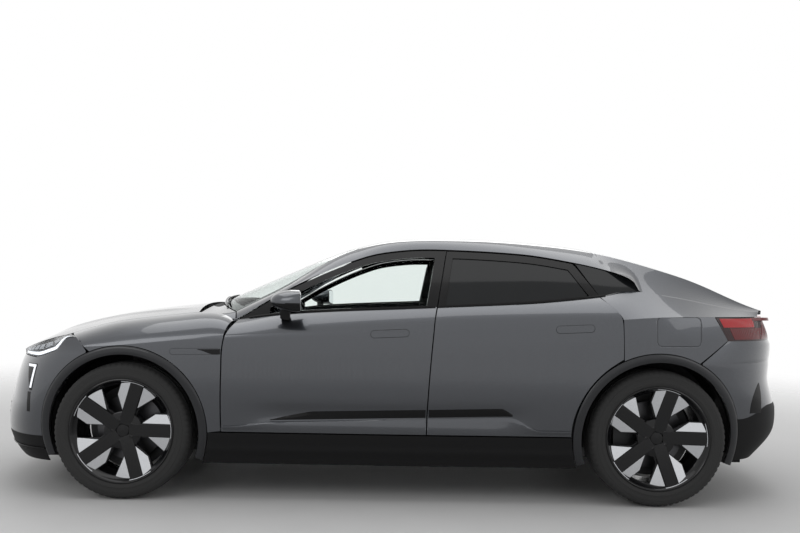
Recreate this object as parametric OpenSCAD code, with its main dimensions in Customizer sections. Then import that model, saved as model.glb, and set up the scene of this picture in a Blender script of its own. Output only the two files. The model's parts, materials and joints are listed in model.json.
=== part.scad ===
// Coupe sport utility vehicle, built from separate panels, glass, cabin, running gear and wheels.
// Millimetres. X points rearward, Y to the vehicle's right, Z up. The ground is at Z = 0.

/* [Overall] */
// Length over the bumpers
overall_length = 4840; // [4760:5:4920]
// Width of the body without the mirrors
overall_width = 2008; // [1980:2:2040]
// Height of the roof above the ground
overall_height = 1534; // [1510:2:1560]
// Distance between the two axles
wheelbase = 2999; // [2960:1:3040]
// From the nose to the front axle
front_overhang = 925; // [905:5:945]

/* [Wheels] */
// Tyre outside diameter
tyre_od = 765; // [745:1:780]
// Tyre section width
tyre_w = 265; // [235:5:275]
// Height of the tyre wall above the rim lip
tyre_wall = 90.5; // [82:0.5:100]
// Distance between the tyre centres of one axle
track = 1696; // [1670:2:1710]
// Spoke groups of one wheel
spoke_groups = 5; // [4:1:7]
// Room between the tyre and the wheel arch
arch_room = 47.5; // [40:0.5:58]
// Width of the arch trim band
arch_band = 46; // [36:1:56]
// Brake disc radius
disc_r = 190; // [170:1:200]
// Spindle radius in the hubs
spindle_r = 30; // [24:1:36]

/* [Body lines] */
// Lower edge of the doors
door_bottom_z = 388; // [375:1:400]
// Underside of the sills
sill_z = 205; // [190:1:220]
// Shoulder line height at the front axle
crease_front_z = 866; // [855:1:880]
// Shoulder line height between the axles
crease_mid_z = 957; // [945:1:970]
// Shoulder line height at the rear axle
crease_rear_z = 1062; // [1050:1:1075]
// Belt line height at the middle pillar
belt_mid_z = 1100; // [1090:1:1112]
// Height of the cowl at the windscreen foot
cowl_z = 1103; // [1095:1:1112]
// Height of the tail lip
lip_z = 1122; // [1110:1:1132]
// Inward lean of the side glass
tumble = 0.66; // [0.6:0.01:0.72]

/* [Panels] */
// Gap around the moving panels
gap = 7; // [6:0.5:9]
// Seam between fixed panels
seam = 0.4; // [0.3:0.1:1]
// Cut line between fixed painted panels
cut = 2.6; // [2:0.2:4]
// Thickness of the doors
door_t = 118; // [100:2:126]
// Width of the window frames
frame_w = 42; // [36:1:48]
// Thickness of the window frames
frame_t = 26; // [20:1:30]
// Thickness of the glass
glass_t = 5; // [4:0.5:6]
// Thickness of the hood and the tailgate
lid_t = 26; // [20:1:30]
// Thickness of the fenders and bumpers
skin_t = 4; // [3:0.5:6]
// Thickness of the body side walls
wall_t = 62; // [56:1:66]
// Hinge pin radius
pin_r = 6; // [5:0.5:8]
// Clearance of a pin in its bore
pin_clear = 0.1; // [0.05:0.05:0.3]

/* [Cabin] */
// Distance of the seats from the middle
seat_y = 372; // [350:2:390]
// Steering wheel radius
wheel_rim_r = 182; // [170:1:190]
// Top of the floor
floor_z = 318; // [300:1:330]

/* [Hidden] */
hw = overall_width / 2;
nose_x = -overall_length / 2;
tail_x = overall_length / 2;
fa = nose_x + front_overhang;
ra = fa + wheelbase;
hub_z = tyre_od / 2;
wheel_y = track / 2;
rim_r = tyre_od / 2 - tyre_wall;
arch_r = tyre_od / 2 + arch_room;
band_r = arch_r + arch_band;
arch_edge = band_r + cut + 1.7;
nose_cut_z = hub_z + 0.9109 * arch_edge;
tail_cut_z = hub_z + 0.8776 * arch_edge;
cowl_x = fa + 390;
header_x = fa + 1195;
tip_x = ra - 59;
lip_x = tail_x - 125;
gate_x = ra - 294;
kingpin_y = wheel_y - 88;

// Lines of the body as [x, value] pairs
hood_line = [[nose_x + 95, 785], [nose_x + 190, 848], [nose_x + 395, 943], [fa - 325, 1003], [fa - 60,
  1048],
  [fa + 310, cowl_z - 9], [cowl_x, cowl_z]];
roof_line = [[cowl_x, cowl_z], [cowl_x + 400, 0.44 * overall_height + 0.56 * cowl_z - 10], [header_x,
  overall_height - 90],
  [fa + 1495, overall_height - 17], [fa + 1895, overall_height], [ra - 704, overall_height - 13],
  [ra - 288, overall_height - 56], [ra + 116, overall_height - 150], [ra + 519, overall_height - 297],
    [lip_x, lip_z]];
crown_line = [[header_x, 105], [fa + 1895, 115], [ra - 288, 135], [ra + 116, 146], [ra + 519, 96],
  [lip_x, 34]];
roof_edge = [[header_x, 575], [fa + 1795, 592], [gate_x, 585], [ra + 116, 628], [ra + 519, 690], [lip_x,
  738]];
side_in = [[fa - 520, 92], [fa - 220, 30], [fa + 150, 14], [fa + 565, 12], [fa + 1495, 0], [ra - 300, 2],
  [ra, 0],
  [ra + 250, 22], [ra + 420, 68], [ra + 540, 126], [ra + 620, 192], [ra + 700, 280]];
crease_line = [[fa - 310, crease_front_z - 20], [fa, crease_front_z], [fa + 565, crease_mid_z - 32],
  [fa + 1495, crease_mid_z], [ra - 704, crease_rear_z - 62], [ra - 204, crease_rear_z - 15], [ra,
    crease_rear_z],
  [ra + 296, crease_rear_z + 6], [ra + 760, crease_rear_z + 9]];
belt_line = [[fa + 610, belt_mid_z - 88], [fa + 980, belt_mid_z - 42], [fa + 1761, belt_mid_z],
  [ra - 708, belt_mid_z + 31], [ra - 388, belt_mid_z + 64], [tip_x, belt_mid_z + 107]];
belt_in = [[fa + 610, 155], [fa + 980, 128], [fa + 1761, 104], [ra - 708, 112], [ra - 388, 142], [tip_x,
  200]];
light_top = [[fa + 610, belt_mid_z - 86], [fa + 962, overall_height - 309], [fa + 1331,
  overall_height - 148],
  [fa + 1560, overall_height - 104], [fa + 1788, overall_height - 96], [ra - 736, overall_height - 118],
  [ra - 479, overall_height - 156], [ra - 252, overall_height - 205], [ra - 133, overall_height - 250],
  [tip_x, belt_mid_z + 125]];
front_cut = [[300, fa + 555], [716, fa + 556], [918, fa + 569], [1013, fa + 628], [1060, fa + 646]];
mid_cut = [[300, fa + 1702], [590, fa + 1710], [977, fa + 1739], [1101, fa + 1759], [1440, fa + 1821]];
rear_cut = [[700, ra - 203], [1027, ra - 209], [1074, ra - 224], [1170, ra - 304], [1368, ra - 440]];
nose_line = [[150, nose_x + 150], [215, nose_x + 62], [300, nose_x + 10], [360, nose_x], [550, nose_x + 28],
  [742, nose_x + 74], [800, nose_x + 96]];
tail_line = [[240, tail_x - 190], [330, tail_x - 60], [400, tail_x - 6], [520, tail_x], [570,
  tail_x - 18], [690, tail_x - 52],
  [800, tail_x - 34], [900, tail_x - 36], [940, tail_x - 62], [1040, tail_x - 112], [1120, tail_x - 124]];
hood_half = [[nose_x + 157, 500], [nose_x + 320, 655], [nose_x + 445, 715], [fa - 375, 752], [fa, 748],
  [fa + 330, 750]];

// Smooth curve through a table of pairs
function span(t, x, i = 0) = i >= len(t) - 2 || x < t[i + 1][0] ? i : span(t, x, i + 1);
function slope(t, i) =
  let (a = max(i - 1, 0), b = min(i + 1, len(t) - 1)) (t[b][1] - t[a][1]) / (t[b][0] - t[a][0]);
function curve(t, x) =
  let (i = span(t, x), h = t[i + 1][0] - t[i][0], r = (x - t[i][0]) / h, q = min(max(r, 0), 1))
  let (a = t[i][1], b = t[i + 1][1], m = slope(t, i) * h, n = slope(t, i + 1) * h)
  let (v = (2 * q ^ 3 - 3 * q ^ 2 + 1) * a + (q ^ 3 - 2 * q ^ 2 + q) * m + (3 * q ^ 2 - 2 * q ^ 3) * b
    + (q ^ 3 - q ^ 2) * n)
  v + (r < 0 ? r * m : 0) + (r > 1 ? (r - 1) * n : 0);
function mix(a, b, t) = a + (b - a) * t;
function bow(a, k, b, t) = (1 - t) ^ 2 * a + 2 * t * (1 - t) * k + t ^ 2 * b;
function bow3(a, k, l, b, t) = (1 - t) ^ 3 * a + 3 * t * (1 - t) ^ 2 * k + 3 * t ^ 2 * (1 - t) * l
  + t ^ 3 * b;
function ease(a, b, x) = let (q = min(max((x - a) / (b - a), 0), 1)) q * q * (3 - 2 * q);

// Half width of the body side at a place below the shoulder
function crease_z(x) = curve(crease_line, x);
function hollow(x, z) =
  ease(fa + 580, fa + 950, x) * (1 - ease(ra - 950, ra - 620, x)) * (z > 400 && z < 580
    ? 24 * sin((z - 400)) ^ 2 : 0);
function side_w(x, z) =
  let (d = crease_z(x) - z, tuck = z < 700 ? 70 * ((700 - z) / 500) ^ 2 : 0)
  hw - curve(side_in, x) - (d < 130 ? 9 * (1 - max(d, 0) / 130) ^ 2 : 0) - tuck - hollow(x, z);
function belt_z(x) = curve(belt_line, x);
function belt_w(x) = hw - curve(belt_in, x);
function glass_w(x, z) =
  let (d = z - belt_z(x)) belt_w(x) - tumble * d - 0.00012 * d * abs(d);
function top_z(x, y) = curve(roof_line, x) - curve(crown_line, x) * (y / 1000) ^ 2;
function hood_z(x, y) = curve(hood_line, x) - mix(80, 52, ease(fa - 450, fa - 50, x)) * (y / 740) ^ 2;
function lip_back(y) = 0.00024 * y * y;

// Points on the left side: outboard distance w becomes -w in Y
function at(x, w, z) = [x, -w, z];
function crease_p(x) = at(x, side_w(x, crease_z(x)), crease_z(x));
function belt_p(x) = at(x, belt_w(x), belt_z(x));
function shoulder(x, t) =
  let (c = crease_p(x), b = belt_p(x), k = [x, mix(c[1], b[1], 0.28), mix(c[2], b[2], 0.62)]) bow(c, k,
    b, t);
function edge_p(x) = let (w = curve(roof_edge, x)) at(x - lip_back(w) * ease(ra + 200, lip_x, x), w,
  top_z(x, w));
tail_ratio = (ra + 612 - tip_x) / (lip_x - tip_x);
function tail_xc(x) = x < tip_x ? x : tip_x + (x - tip_x) * tail_ratio;
function tail_xe(x) = x < tip_x ? x : tip_x + (x - tip_x) / tail_ratio;
function hip_k(x) = at((tail_xc(x) + edge_p(x)[0]) / 2, mix(belt_w(tip_x) - 32, hw - 235, ease(tip_x,
  lip_x, x)),
  mix(belt_z(tip_x) + 20, lip_z - 12, ease(tip_x - 150, lip_x - 60, x)));
function hip(x, t) = bow(crease_p(tail_xc(x)), hip_k(x), edge_p(x), t);
hip_t = 0.45;
// Upper edge of the quarter wall: the belt in front of the window tip, then the line that runs on to the tail
function quarter_top(x, t) =
  let (q = ease(tip_x - 260, tip_x, x)) x < tip_x ? mix(shoulder(x, t), hip(x, t * hip_t), q) : hip(x,
    t * hip_t);
function screen_p(u, v) =
  let (x = mix(cowl_x, header_x, v), s = mix(205, 95, v))
  let (y = u * mix(765, 575, v), h = ease(0.3, 1, v))
  [x + s * u * u, y, mix(curve(roof_line, x) - 48 * u * u, top_z(x + s * u * u, y), h)];
function rail_low(x) =
  let (z = curve(light_top, x)) x < tip_x ? at(x, mix(glass_w(x, z), -quarter_top(x, 1)[1],
    ease(tip_x - 200, tip_x, x)),
  mix(z, quarter_top(x, 1)[2], ease(tip_x - 40, tip_x, x))) : quarter_top(x, 1);

// Closed shell between two grids of points
function flat(g) = [for (r = g) each r];
function tri_sum(p, f) = let (v = [for (t = f) cross(p[t[0]], p[t[1]]) * p[t[2]]]) v * [for (t = f) 1];
module shell(outer, inner) {
  n = len(outer);
  m = len(outer[0]);
  k = n * m;
  p = concat(flat(outer), flat(inner));
  top = [for (j = [0 : n - 2], i = [0 : m - 2]) let (a = j * m + i)
    each [[a, a + m, a + m + 1], [a, a + m + 1, a + 1]]];
  low = [for (t = top) [t[0] + k, t[2] + k, t[1] + k]];
  rim = concat([for (i = [0 : m - 2]) i], [for (j = [0 : n - 2]) j * m + m - 1],
    [for (i = [0 : m - 2]) n * m - 1 - i], [for (j = [0 : n - 2]) (n - 1 - j) * m]);
  side = [for (i = [0 : len(rim) - 1]) let (a = rim[i], b = rim[(i + 1) % len(rim)])
    each [[a, b, b + k], [a, b + k, a + k]]];
  f = concat(top, low, side);
  polyhedron(points = p, faces = tri_sum(p, f) < 0 ? f : [for (t = f) [t[2], t[1], t[0]]]);
}
module both() {
  children();
  mirror([0, 1, 0]) children();
}
module box(a, b) translate(a) cube(b - a);

// Doors
function rear_edge(z) =
  let (r = band_r + gap / 2 + 6, s = r ^ 2 - 203 ^ 2) z < hub_z + sqrt(s)
    ? ra - sqrt(r ^ 2 - (z - hub_z) ^ 2) : curve(rear_cut, z);
// Grid of a door skin between two cut lines, d deep and e inside its edges
function door_grid(f, r, xf, xr, d, e0, e1, cols = 8, rows = 6, rise = 3) = [
  for (j = [0 : rows + rise]) [for (i = [0 : cols])
    let (q = j <= rows ? j / rows : 1, t = j <= rows ? 0 : (j - rows) / rise)
    let (zf = mix(mix(door_bottom_z, crease_z(xf), q), belt_z(xf), t), zr = mix(mix(door_bottom_z,
      crease_z(xr), q), belt_z(xr), t))
    let (x = mix(f(zf) + gap / 2 + e0, r(zr) - gap / 2 - e1, i / cols), z = mix(door_bottom_z,
      crease_z(x), q))
    (j <= rows ? at(x, side_w(x, z), z) : shoulder(x, t)) + [0, d * (1 - 0.36 * t), 0]]];
module door_panel(f, r, xf, xr, rows = 6) {
  shell(door_grid(f, r, xf, xr, 0, 0, 0, rows = rows), door_grid(f, r, xf, xr, door_t, 10, 26,
    rows = rows));
}
// Window frame between an outer and an inner path of [x, z] points
function frame_path(p, d) = [for (q = p) at(q[0], glass_w(q[0], q[1]) - d, q[1])];
module frame_band(outer, inner, outer_deep, d = 0) {
  shell([frame_path(outer, d), frame_path(inner, d)], [frame_path(outer_deep, d + frame_t),
    frame_path(inner, d + frame_t)]);
}
top_gap = gap + 3;
function front_xs(i, b) = i <= 4 ? mix(fa + 634, sail_x, i / 4) : mix(sail_x + 2, b, (i - 5) / 10);
function front_outer(e) = concat(
  [for (i = [0 : 15]) let (x = front_xs(i, mid_x(1436) - gap / 2 - e)) [x, curve(light_top,
    x) - top_gap - e * 0.4]],
  [for (i = [1 : 4]) let (z = mix(curve(light_top, fa + 1800), belt_mid_z - 46,
    i / 4)) [mid_x(z) - gap / 2 - e, z]]);
function front_inner() = concat(
  [for (i = [0 : 15]) let (x = front_xs(i, mid_x(1400) - post_w))
    [x, i <= 4 ? min(belt_z(x) - 12, curve(light_top, x) - 24) : curve(light_top, x) - top_gap - frame_w]],
  [for (i = [1 : 4]) let (z = mix(curve(light_top, fa + 1720) - frame_w, belt_mid_z - 46,
    i / 4)) [mid_x(z) - post_w, z]]);
function mid_x(z) = curve(mid_cut, z);
post_w = 62;
sail_x = fa + 800;
function rear_x(z) = curve(rear_cut, z);
function rear_outer(e) = concat(
  [for (i = [0 : 3]) let (z = mix(belt_mid_z - 42, overall_height - 108, i / 3)) [mid_x(z) + gap / 2 + e,
    z]],
  [for (i = [1 : 9]) let (x = mix(mid_x(1436) + gap / 2 + e, rear_x(1368) - gap / 2 - e, i / 9)) [x,
    curve(light_top, x) - top_gap - e * 0.4]],
  [for (i = [1 : 4]) let (z = mix(1364, belt_mid_z + 20, i / 4)) [rear_x(z) - gap / 2 - e, z]]);
function rear_inner() = concat(
  [for (i = [0 : 3]) let (z = mix(belt_mid_z - 42, overall_height - 108 - frame_w, i / 3)) [mid_x(z)
    + post_w * 0.7, z]],
  [for (i = [1 : 9]) let (x = mix(mid_x(1400) + post_w * 0.7, rear_x(1328) - post_w, i / 9)) [x,
    curve(light_top, x) - top_gap - frame_w]],
  [for (i = [1 : 4]) let (z = mix(1322, belt_mid_z + 20, i / 4)) [rear_x(z) - post_w, z]]);
// Hinge places of a door: pins carried by the body, bores and pockets in the door
function pin_x(f) = f(720) + 62;
function pin_w(f) = side_w(pin_x(f), 720) - 14;
hinge_zs = [600, 830];
module hinge_pockets(f) {
  for (z = hinge_zs) {
    box([f(z) - 20, -pin_w(f) - 8, z - 30], [pin_x(f) + 14, -pin_w(f) + 170, z + 30]);
    translate(at(pin_x(f), pin_w(f), z - 46)) cylinder(h = 92, r = pin_r + pin_clear, $fn = 48);
  }
}
module hinge_arms(f, back) {
  for (z = hinge_zs) {
    translate(at(pin_x(f), pin_w(f), z - 44)) cylinder(h = 88, r = pin_r, $fn = 48);
    box([pin_x(f) - 7, -pin_w(f), z - 20], [pin_x(f) + 7, -pin_w(f) + 150, z + 20]);
    box([pin_x(f) - back, -pin_w(f) + 134, z - 20], [pin_x(f) + 7, -pin_w(f) + 150, z + 20]);
  }
}
function front_x(z) = curve(front_cut, z);
module front_door() {
  difference() {
    union() {
      door_panel(function(z) front_x(z), function(z) mid_x(z), fa + 560, fa + 1740);
      frame_band(front_outer(0), front_inner(), front_outer(18));
    }
    hinge_pockets(function(z) front_x(z));
    mirror_foot(0.3);
  }
}
module rear_door() {
  difference() {
    union() {
      door_panel(function(z) mid_x(z), function(z) rear_edge(z), fa + 1740, ra - 230, 9);
      frame_band(rear_outer(0), rear_inner(), rear_outer(18));
    }
    hinge_pockets(function(z) mid_x(z));
  }
}
// Glass of a door between two edge lines, standing on the belt
function pane(f, r, cols, d, top = 2) = [for (j = [0 : 3]) [for (i = [0 : cols])
  let (xa = mix(f(belt_z(f(1090))), r(belt_z(r(1090))), i / cols), xb = mix(f(curve(light_top,
    f(1400)) - 56), r(curve(light_top, r(1350)) - 56), i / cols))
  let (za = belt_z(xa) + 0.3, zb = curve(light_top, xb) - top_gap - frame_w - top, x = mix(xa, xb,
    j / 3), z = mix(za, zb, j / 3))
  at(x, glass_w(x, z) - 4 - d, z)]];
module front_pane() {
  f = function(z) sail_x + 3.2;
  r = function(z) mid_x(z) - post_w - 0.9;
  shell(pane(f, r, 9, 0), pane(f, r, 9, glass_t));
}
module rear_pane() {
  f = function(z) mid_x(z) + post_w * 0.7 + 0.9;
  r = function(z) rear_x(z) - post_w - 2.4;
  shell(pane(f, r, 7, 0), pane(f, r, 7, glass_t));
}

// Hood and fenders
hood_back = fa + 310;
function hood_front(y) = nose_x + 114 + 0.00025 * y * y;
function hood_rear(y) = hood_back + 0.00011 * y * y;
function hood_grid(d, e) = [for (j = [0 : 9]) [for (i = [-7 : 7])
  let (u = i / 7, y0 = u * 480, x0 = hood_front(y0) + e, y1 = u * (750 - e), x1 = hood_rear(y1) - e,
    x = mix(x0, x1, j / 9))
  let (y = u * (curve(hood_half, max(x, nose_x + 157)) - e)) [x, y, hood_z(x, y) - d]]];
hood_pin_x = hood_back - 12;
hood_pin_z = cowl_z - 92;
hood_pin_y = 590;
module hood_shape() {
  difference() {
    union() {
      shell(hood_grid(0, 0), hood_grid(lid_t, 14));
      both() {
        translate([hood_pin_x, -hood_pin_y - 20, hood_pin_z]) rotate([-90, 0, 0]) cylinder(h = 40,
          r = 15, $fn = 40);
        box([hood_pin_x - 14, -hood_pin_y - 20, hood_pin_z], [hood_pin_x + 14, -hood_pin_y + 20,
          hood_pin_z + 34]);
      }
    }
    both() translate([hood_pin_x, -hood_pin_y - 21, hood_pin_z]) rotate([-90, 0, 0]) cylinder(h = 42,
      r = pin_r + pin_clear, $fn = 40);
  }
}
function hood_side(x) = let (w = curve(hood_half, x) + gap) at(x, w, hood_z(x, w));
fender_n = 17;
function fender_a(i) = mix(112.5, 0, min(i / 13, 1));
function fender_low(i) = let (a = fender_a(i), r = arch_edge, q = (i - 13) / 4)
  i <= 13 ? [fa + r * cos(a), hub_z + r * sin(a)] :
  [mix(fa + r, front_x(400) - gap / 2 - 2, q), mix(hub_z, sill_z + 186, q)];
function fender_mid(i) = let (a = fender_a(i))
  i <= 13 ? fender_low(i)[0] + (a > 90 ? -32 * (a - 90) / 22.5 : 20 * (1 - a / 90)) :
  mix(fa + arch_edge + 20, front_x(915) - gap / 2 - 2, (i - 13) / 4);
function fender_top(i) =
  let (f = (fender_mid(i) - fender_mid(0)) / (fender_mid(12) - fender_mid(0)), a = hood_side(fa + 360))
  i <= 12 ? hood_side(mix(fa - 356, fa + 360, f)) :
  bow(a, [fa + 520, a[1] + 2, a[2] + 14], [fa + 594, -(hw - 156), belt_mid_z - 94], (i - 12) / 5);
function fender_grid(d) = [for (j = [0 : 8]) [for (i = [0 : fender_n])
  let (b = fender_low(i), xc = fender_mid(i), r = min(j / 4, 1), t = max(j - 4, 0) / 4)
  let (x = mix(b[0], xc, r), z = mix(b[1], crease_z(xc), r), c = crease_p(xc), e = fender_top(i))
  let (k = [mix(xc, e[0], 0.55), mix(c[1], e[1], 0.16), mix(c[2], e[2], 0.86)])
  let (p = j <= 4 ? at(x, side_w(x, z), z) : bow(c, k, e, t))
  [i == fender_n ? min(p[0], front_x(p[2]) - gap / 2 - 2) : p[0], p[1], p[2]] + d * [0, 1 - 0.75 * t,
    -0.75 * t]]];

// Nose: plan curve from the wheel arch to the middle at one height
function nose_side(z) =
  let (r = arch_edge, a = fa - sqrt(r ^ 2 - (min(z, nose_cut_z) - hub_z) ^ 2))
  z < nose_cut_z ? a : mix(a, fa - 262, min((z - nose_cut_z) / 85, 1));
function nose_p(t, z) =
  let (s = nose_side(z), n = curve(nose_line, z), w = side_w(s, z), g = (side_w(s + 10,
    z) - side_w(s - 10, z)) / 20, l = 0.5 * (s - n))
  let (q = bow3([s, w], [s - l, w - g * l], [n + 12, 0.62 * w], [n, 0], t)) at(q[0], q[1], z);
function nose_top(t) = 902 - 127 * ease(0.03, 0.34, t);
lip_top = 335;
function nose_grid(z0, z1, d, rows) = [for (j = [0 : rows]) [for (i = [-12 : 12])
  let (t = 1 - abs(i) / 12, z = mix(z0, z1 < 0 ? nose_top(t) : z1, j / rows), p = nose_p(t, z),
    m = [fa - 150, 0, z])
  let (q = p + d * (m - p) / norm(m - p)) [q[0], i > 0 ? -q[1] : q[1], z]]];
lamp_t = 0.75;
function lamp_top(s) = hood_side(mix(fa - 372, nose_x + 180, s ^ 0.9)) + [0, 0, -2];
function lamp_grid(d) = [for (j = [0 : 3]) [for (i = [0 : 9])
  let (s = i / 9, t = s * lamp_t, b = lamp_top(s))
  let (a = nose_p(t, nose_top(t) + cut) + [mix(-6, cut, ease(0, 0.3, s)), 0, 0])
  let (m = [fa - 150 - a[0], -a[1], 0], n = m / norm(m))
  bow(a, mix(a, b, 0.5) + [-6, -10, 10], b, j / 3) + d * mix(n, [0.2, 0, -1], j / 3)]];

// Tail: plan curve from the rear arch to the middle at one height
function tail_side(z) =
  let (r = arch_edge, a = ra + sqrt(r ^ 2 - (min(z, tail_cut_z) - hub_z) ^ 2))
  z < tail_cut_z ? a : mix(a, ra + 392, min((z - tail_cut_z) / 130, 1));
function tail_p(t, z) =
  let (s = tail_side(z), n = curve(tail_line, z), w = side_w(s, z), g = (side_w(s + 10,
    z) - side_w(s - 10, z)) / 20, l = 0.6 * (n - s))
  let (q = bow3([s, w], [s + l, w + g * l * 0.7], [n - 16, 0.72 * w], [n, 0], t)) at(q[0], q[1], z);
gate_low_z = 800;
function tail_top(t) = 934 - (934 - gate_low_z + gap) * ease(0.60, 0.66, t);
diffuser_top = 545;
function tail_grid(z0, z1, d, rows) = [for (j = [0 : rows]) [for (i = [-15 : 15])
  let (t = 1 - abs(i) / 15, z = mix(z0, z1 < 0 ? tail_top(t) : z1, j / rows), p = tail_p(t, z), m = [ra
    + 150, 0, z])
  let (q = p + d * (m - p) / norm(m - p)) [q[0], i > 0 ? -q[1] : q[1], z]]];

// Quarter wall
quarter_n = 11;
function quarter_grid(d) = [for (j = [0 : 6]) [for (i = [0 : quarter_n])
  let (u = i / quarter_n, a = mix(115, 62.3, u), r = arch_edge, b = [ra + r * cos(a), hub_z
    + r * sin(a)], q = j / 6)
  let (xc = strip_x(i), m = mix(b, [xc, crease_z(xc)], q), bend = u ^ 4 * (1 - abs(2 * q - 1)))
  let (x = m[0] + 125 * bend - cut * u, z = m[1] - 2 * bend) at(x, side_w(x, z), z) + [0, d, 0]]];
// Shoulder strip above it, on to the tail
function strip_x(i) = i <= quarter_n ? mix(rear_x(1040) + gap / 2, ra + 311, i / quarter_n) : mix(ra
  + 311, ra + 612, (i - quarter_n) / 6);
function strip_grid(d) = [for (j = [0 : 3]) [for (i = [0 : quarter_n + 6])
  let (xc = strip_x(i), t = j / 3, x0 = strip_x(0), lead = x0 - rear_x(shoulder(x0 - 40 * t,
    t)[2]) - gap / 2)
  let (x = tail_xe(xc) - max(lead, 0) * max(1 - (xc - x0) / (tip_x - 60 - x0), 0)) quarter_top(x, t)
  + d * (1 - 0.6 * max(i - quarter_n, 0) / 6) * [0, 1, 0]]];
rail_n = 31;
function rail_foot(i) = i <= 9 ? rail_low(mix(fa + 612, fa + 1300, i / 9)) : rail_low(rail_x(i));
function rail_x(i) = i <= 14 ? mix(fa + 1300, ra - 440, (i - 9) / 5) : i <= 20 ? mix(ra - 440, tip_x,
  (i - 14) / 6) :
  mix(tip_x, lip_x, (i - 20) / (rail_n - 20));
function rail_head(i) = i <= 9 ? screen_p(-1, i / 9) - [0, seam, 0] : edge_p(rail_x(i)) - [0,
  rail_x(i) < gate_x ? cut : gap + 3 + 4 * ease(ra + 400, lip_x, rail_x(i)), 0];
function rail_grid(d) = [for (j = [0 : 3]) [for (i = [0 : rail_n])
  let (a = rail_foot(i) + (i == rail_n ? [3, 3, -4] : [0, 0, 0]), b = rail_head(i), x = rail_x(i),
    t = j / 3)
  let (k = i <= 20 ? mix(a, b, 0.5) + [0, -9, 9] : hip(x, mix(hip_t, 1, 0.5)) * 2 - (a + b) / 2)
  bow(a, k, b, t) + d * (1 - 0.5 * max(i - 20, 0) / 11) * [0, 1 - 0.9 * t, -0.7 * t]]];

// Rear lamp between the bumper and the shoulder
lamp_end = 0.54;
function tail_lamp_top(s) = s < 0.5 ? crease_p(mix(ra + 315, ra + 612, s * 2)) + [0, 0, -cut - 1] :
  let (q = s * 2 - 1, a = crease_p(ra + 612), w = mix(-a[1], 612, q)) at(mix(a[0], lip_x - lip_back(612),
    sqrt(q)), w, mix(a[2], crease_rear_z + 6, q) - cut - 1);
function tail_lamp_grid(d) = [for (j = [0 : 4]) [for (i = [0 : 12])
  let (s = i / 12, a = tail_p(s * lamp_end, 934 + seam), b = tail_lamp_top(s))
  let (k = mix(a, b, 0.5) + 22 * s * [1, 0, 0] + [0, -4, 0], p = bow(a, k, b, j / 4)) p
    + d * [-sin(90 * s), cos(90 * s), 0]]];

// Tailgate
function gate_w(x, e) = curve(roof_edge, x) - e;
function gate_grid(d, e) = [for (j = [0 : 11]) [for (i = [-6 : 6])
  let (u = i / 6, x = mix(gate_x + gap + e, lip_x, j / 11), y = u * gate_w(x, e))
  [x - lip_back(y) * ease(ra + 200, lip_x, x), y, top_z(x, y) - d]]];
function face_w(z) = mix(545, 604, ease(915, 945, z));
function face_grid(d, e) = [for (j = [0 : 8]) [for (i = [-6 : 6])
  let (u = i / 6, z = mix(gate_low_z + e, lip_z - 8, j / 8), y = u * (face_w(z) - e))
  [curve(tail_line, z) - 0.00029 * y * y - d, y, z - 26 * (y / 700) ^ 2 * ease(1040, 1110, z)]]];
bar_low_z = 1046;
bar_top_z = 1074;
bar_half = 588;
function bar_grid(d) = [for (j = [0 : 2]) [for (i = [-6 : 6])
  let (y = i / 6 * bar_half, z = mix(bar_low_z, bar_top_z, j / 2))
  [curve(tail_line, z) - 0.00029 * y * y + d, y, z - 26 * (y / 700) ^ 2 * ease(1040, 1110, z)]]];
gate_pin_x = gate_x + gap + 30;
gate_pin_y = 190;
gate_pin_z = top_z(gate_pin_x, gate_pin_y) - 10;
module gate_shape() {
  difference() {
    union() {
      shell(gate_grid(0, 0), gate_grid(lid_t, 16));
      shell(face_grid(0, 0), face_grid(40, 10));
      shell(bar_grid(10), bar_grid(-16));
    }
    both() {
      box([gate_x - 20, -gate_pin_y - 20, gate_pin_z - 60], [gate_pin_x + 14, -gate_pin_y + 20,
        gate_pin_z + 8]);
      translate([gate_pin_x, -gate_pin_y - 36, gate_pin_z]) rotate([-90, 0, 0]) cylinder(h = 72,
        r = pin_r - 1 + pin_clear, $fn = 40);
    }
  }
}
module gate_arms() {
  both() {
    translate([gate_pin_x, -gate_pin_y - 34, gate_pin_z]) rotate([-90, 0, 0]) cylinder(h = 68,
      r = pin_r - 1, $fn = 40);
    box([gate_pin_x - 6, -gate_pin_y - 13, gate_pin_z - 62], [gate_pin_x + 6, -gate_pin_y + 13,
      gate_pin_z]);
    box([gate_x - 60, -gate_pin_y - 13, gate_pin_z - 62], [gate_pin_x + 6, -gate_pin_y + 13,
      gate_pin_z - 46]);
    box([gate_x - 60, -gate_pin_y - 13, gate_pin_z - 62], [gate_x - 40, -gate_pin_y + 13, gate_pin_z - 20]);
  }
}

// Roof and windscreen
function roof_grid(d, e) = [for (j = [0 : 9]) [for (i = [-5 : 5])
  let (u = i / 5, x0 = header_x + seam + 95 * u * u, x = mix(x0, gate_x - e, j / 9),
    y = u * (curve(roof_edge, x) - e)) [x, y, top_z(x, y) - d]]];
function screen_grid(d, e) = [for (j = [0 : 9]) [for (i = [-6 : 6])
  let (p = screen_p(i / 6 * (1 - e / 700), j / 9)) p - d * [-0.4, 0, 0.9] - [j == 9 ? cut : 0, 0, 0]]];
// Roof bows under the front and rear edges of the roof
function between(g, j, t) = [for (i = [0 : len(g[0]) - 1]) mix(g[j][i], g[j + 1][i], t)];
function bow_grid(j, a, b, d) = let (g = roof_grid(7.3 + d, 30)) [between(g, j, a), between(g, j, b)];
module roof_bows() {
  shell(bow_grid(0, 0.08, 0.55, 0), bow_grid(0, 0.08, 0.55, 30));
  shell(bow_grid(8, 0.4, 0.85, 0), bow_grid(8, 0.4, 0.85, 44));
  gate_arms();
}

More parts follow.
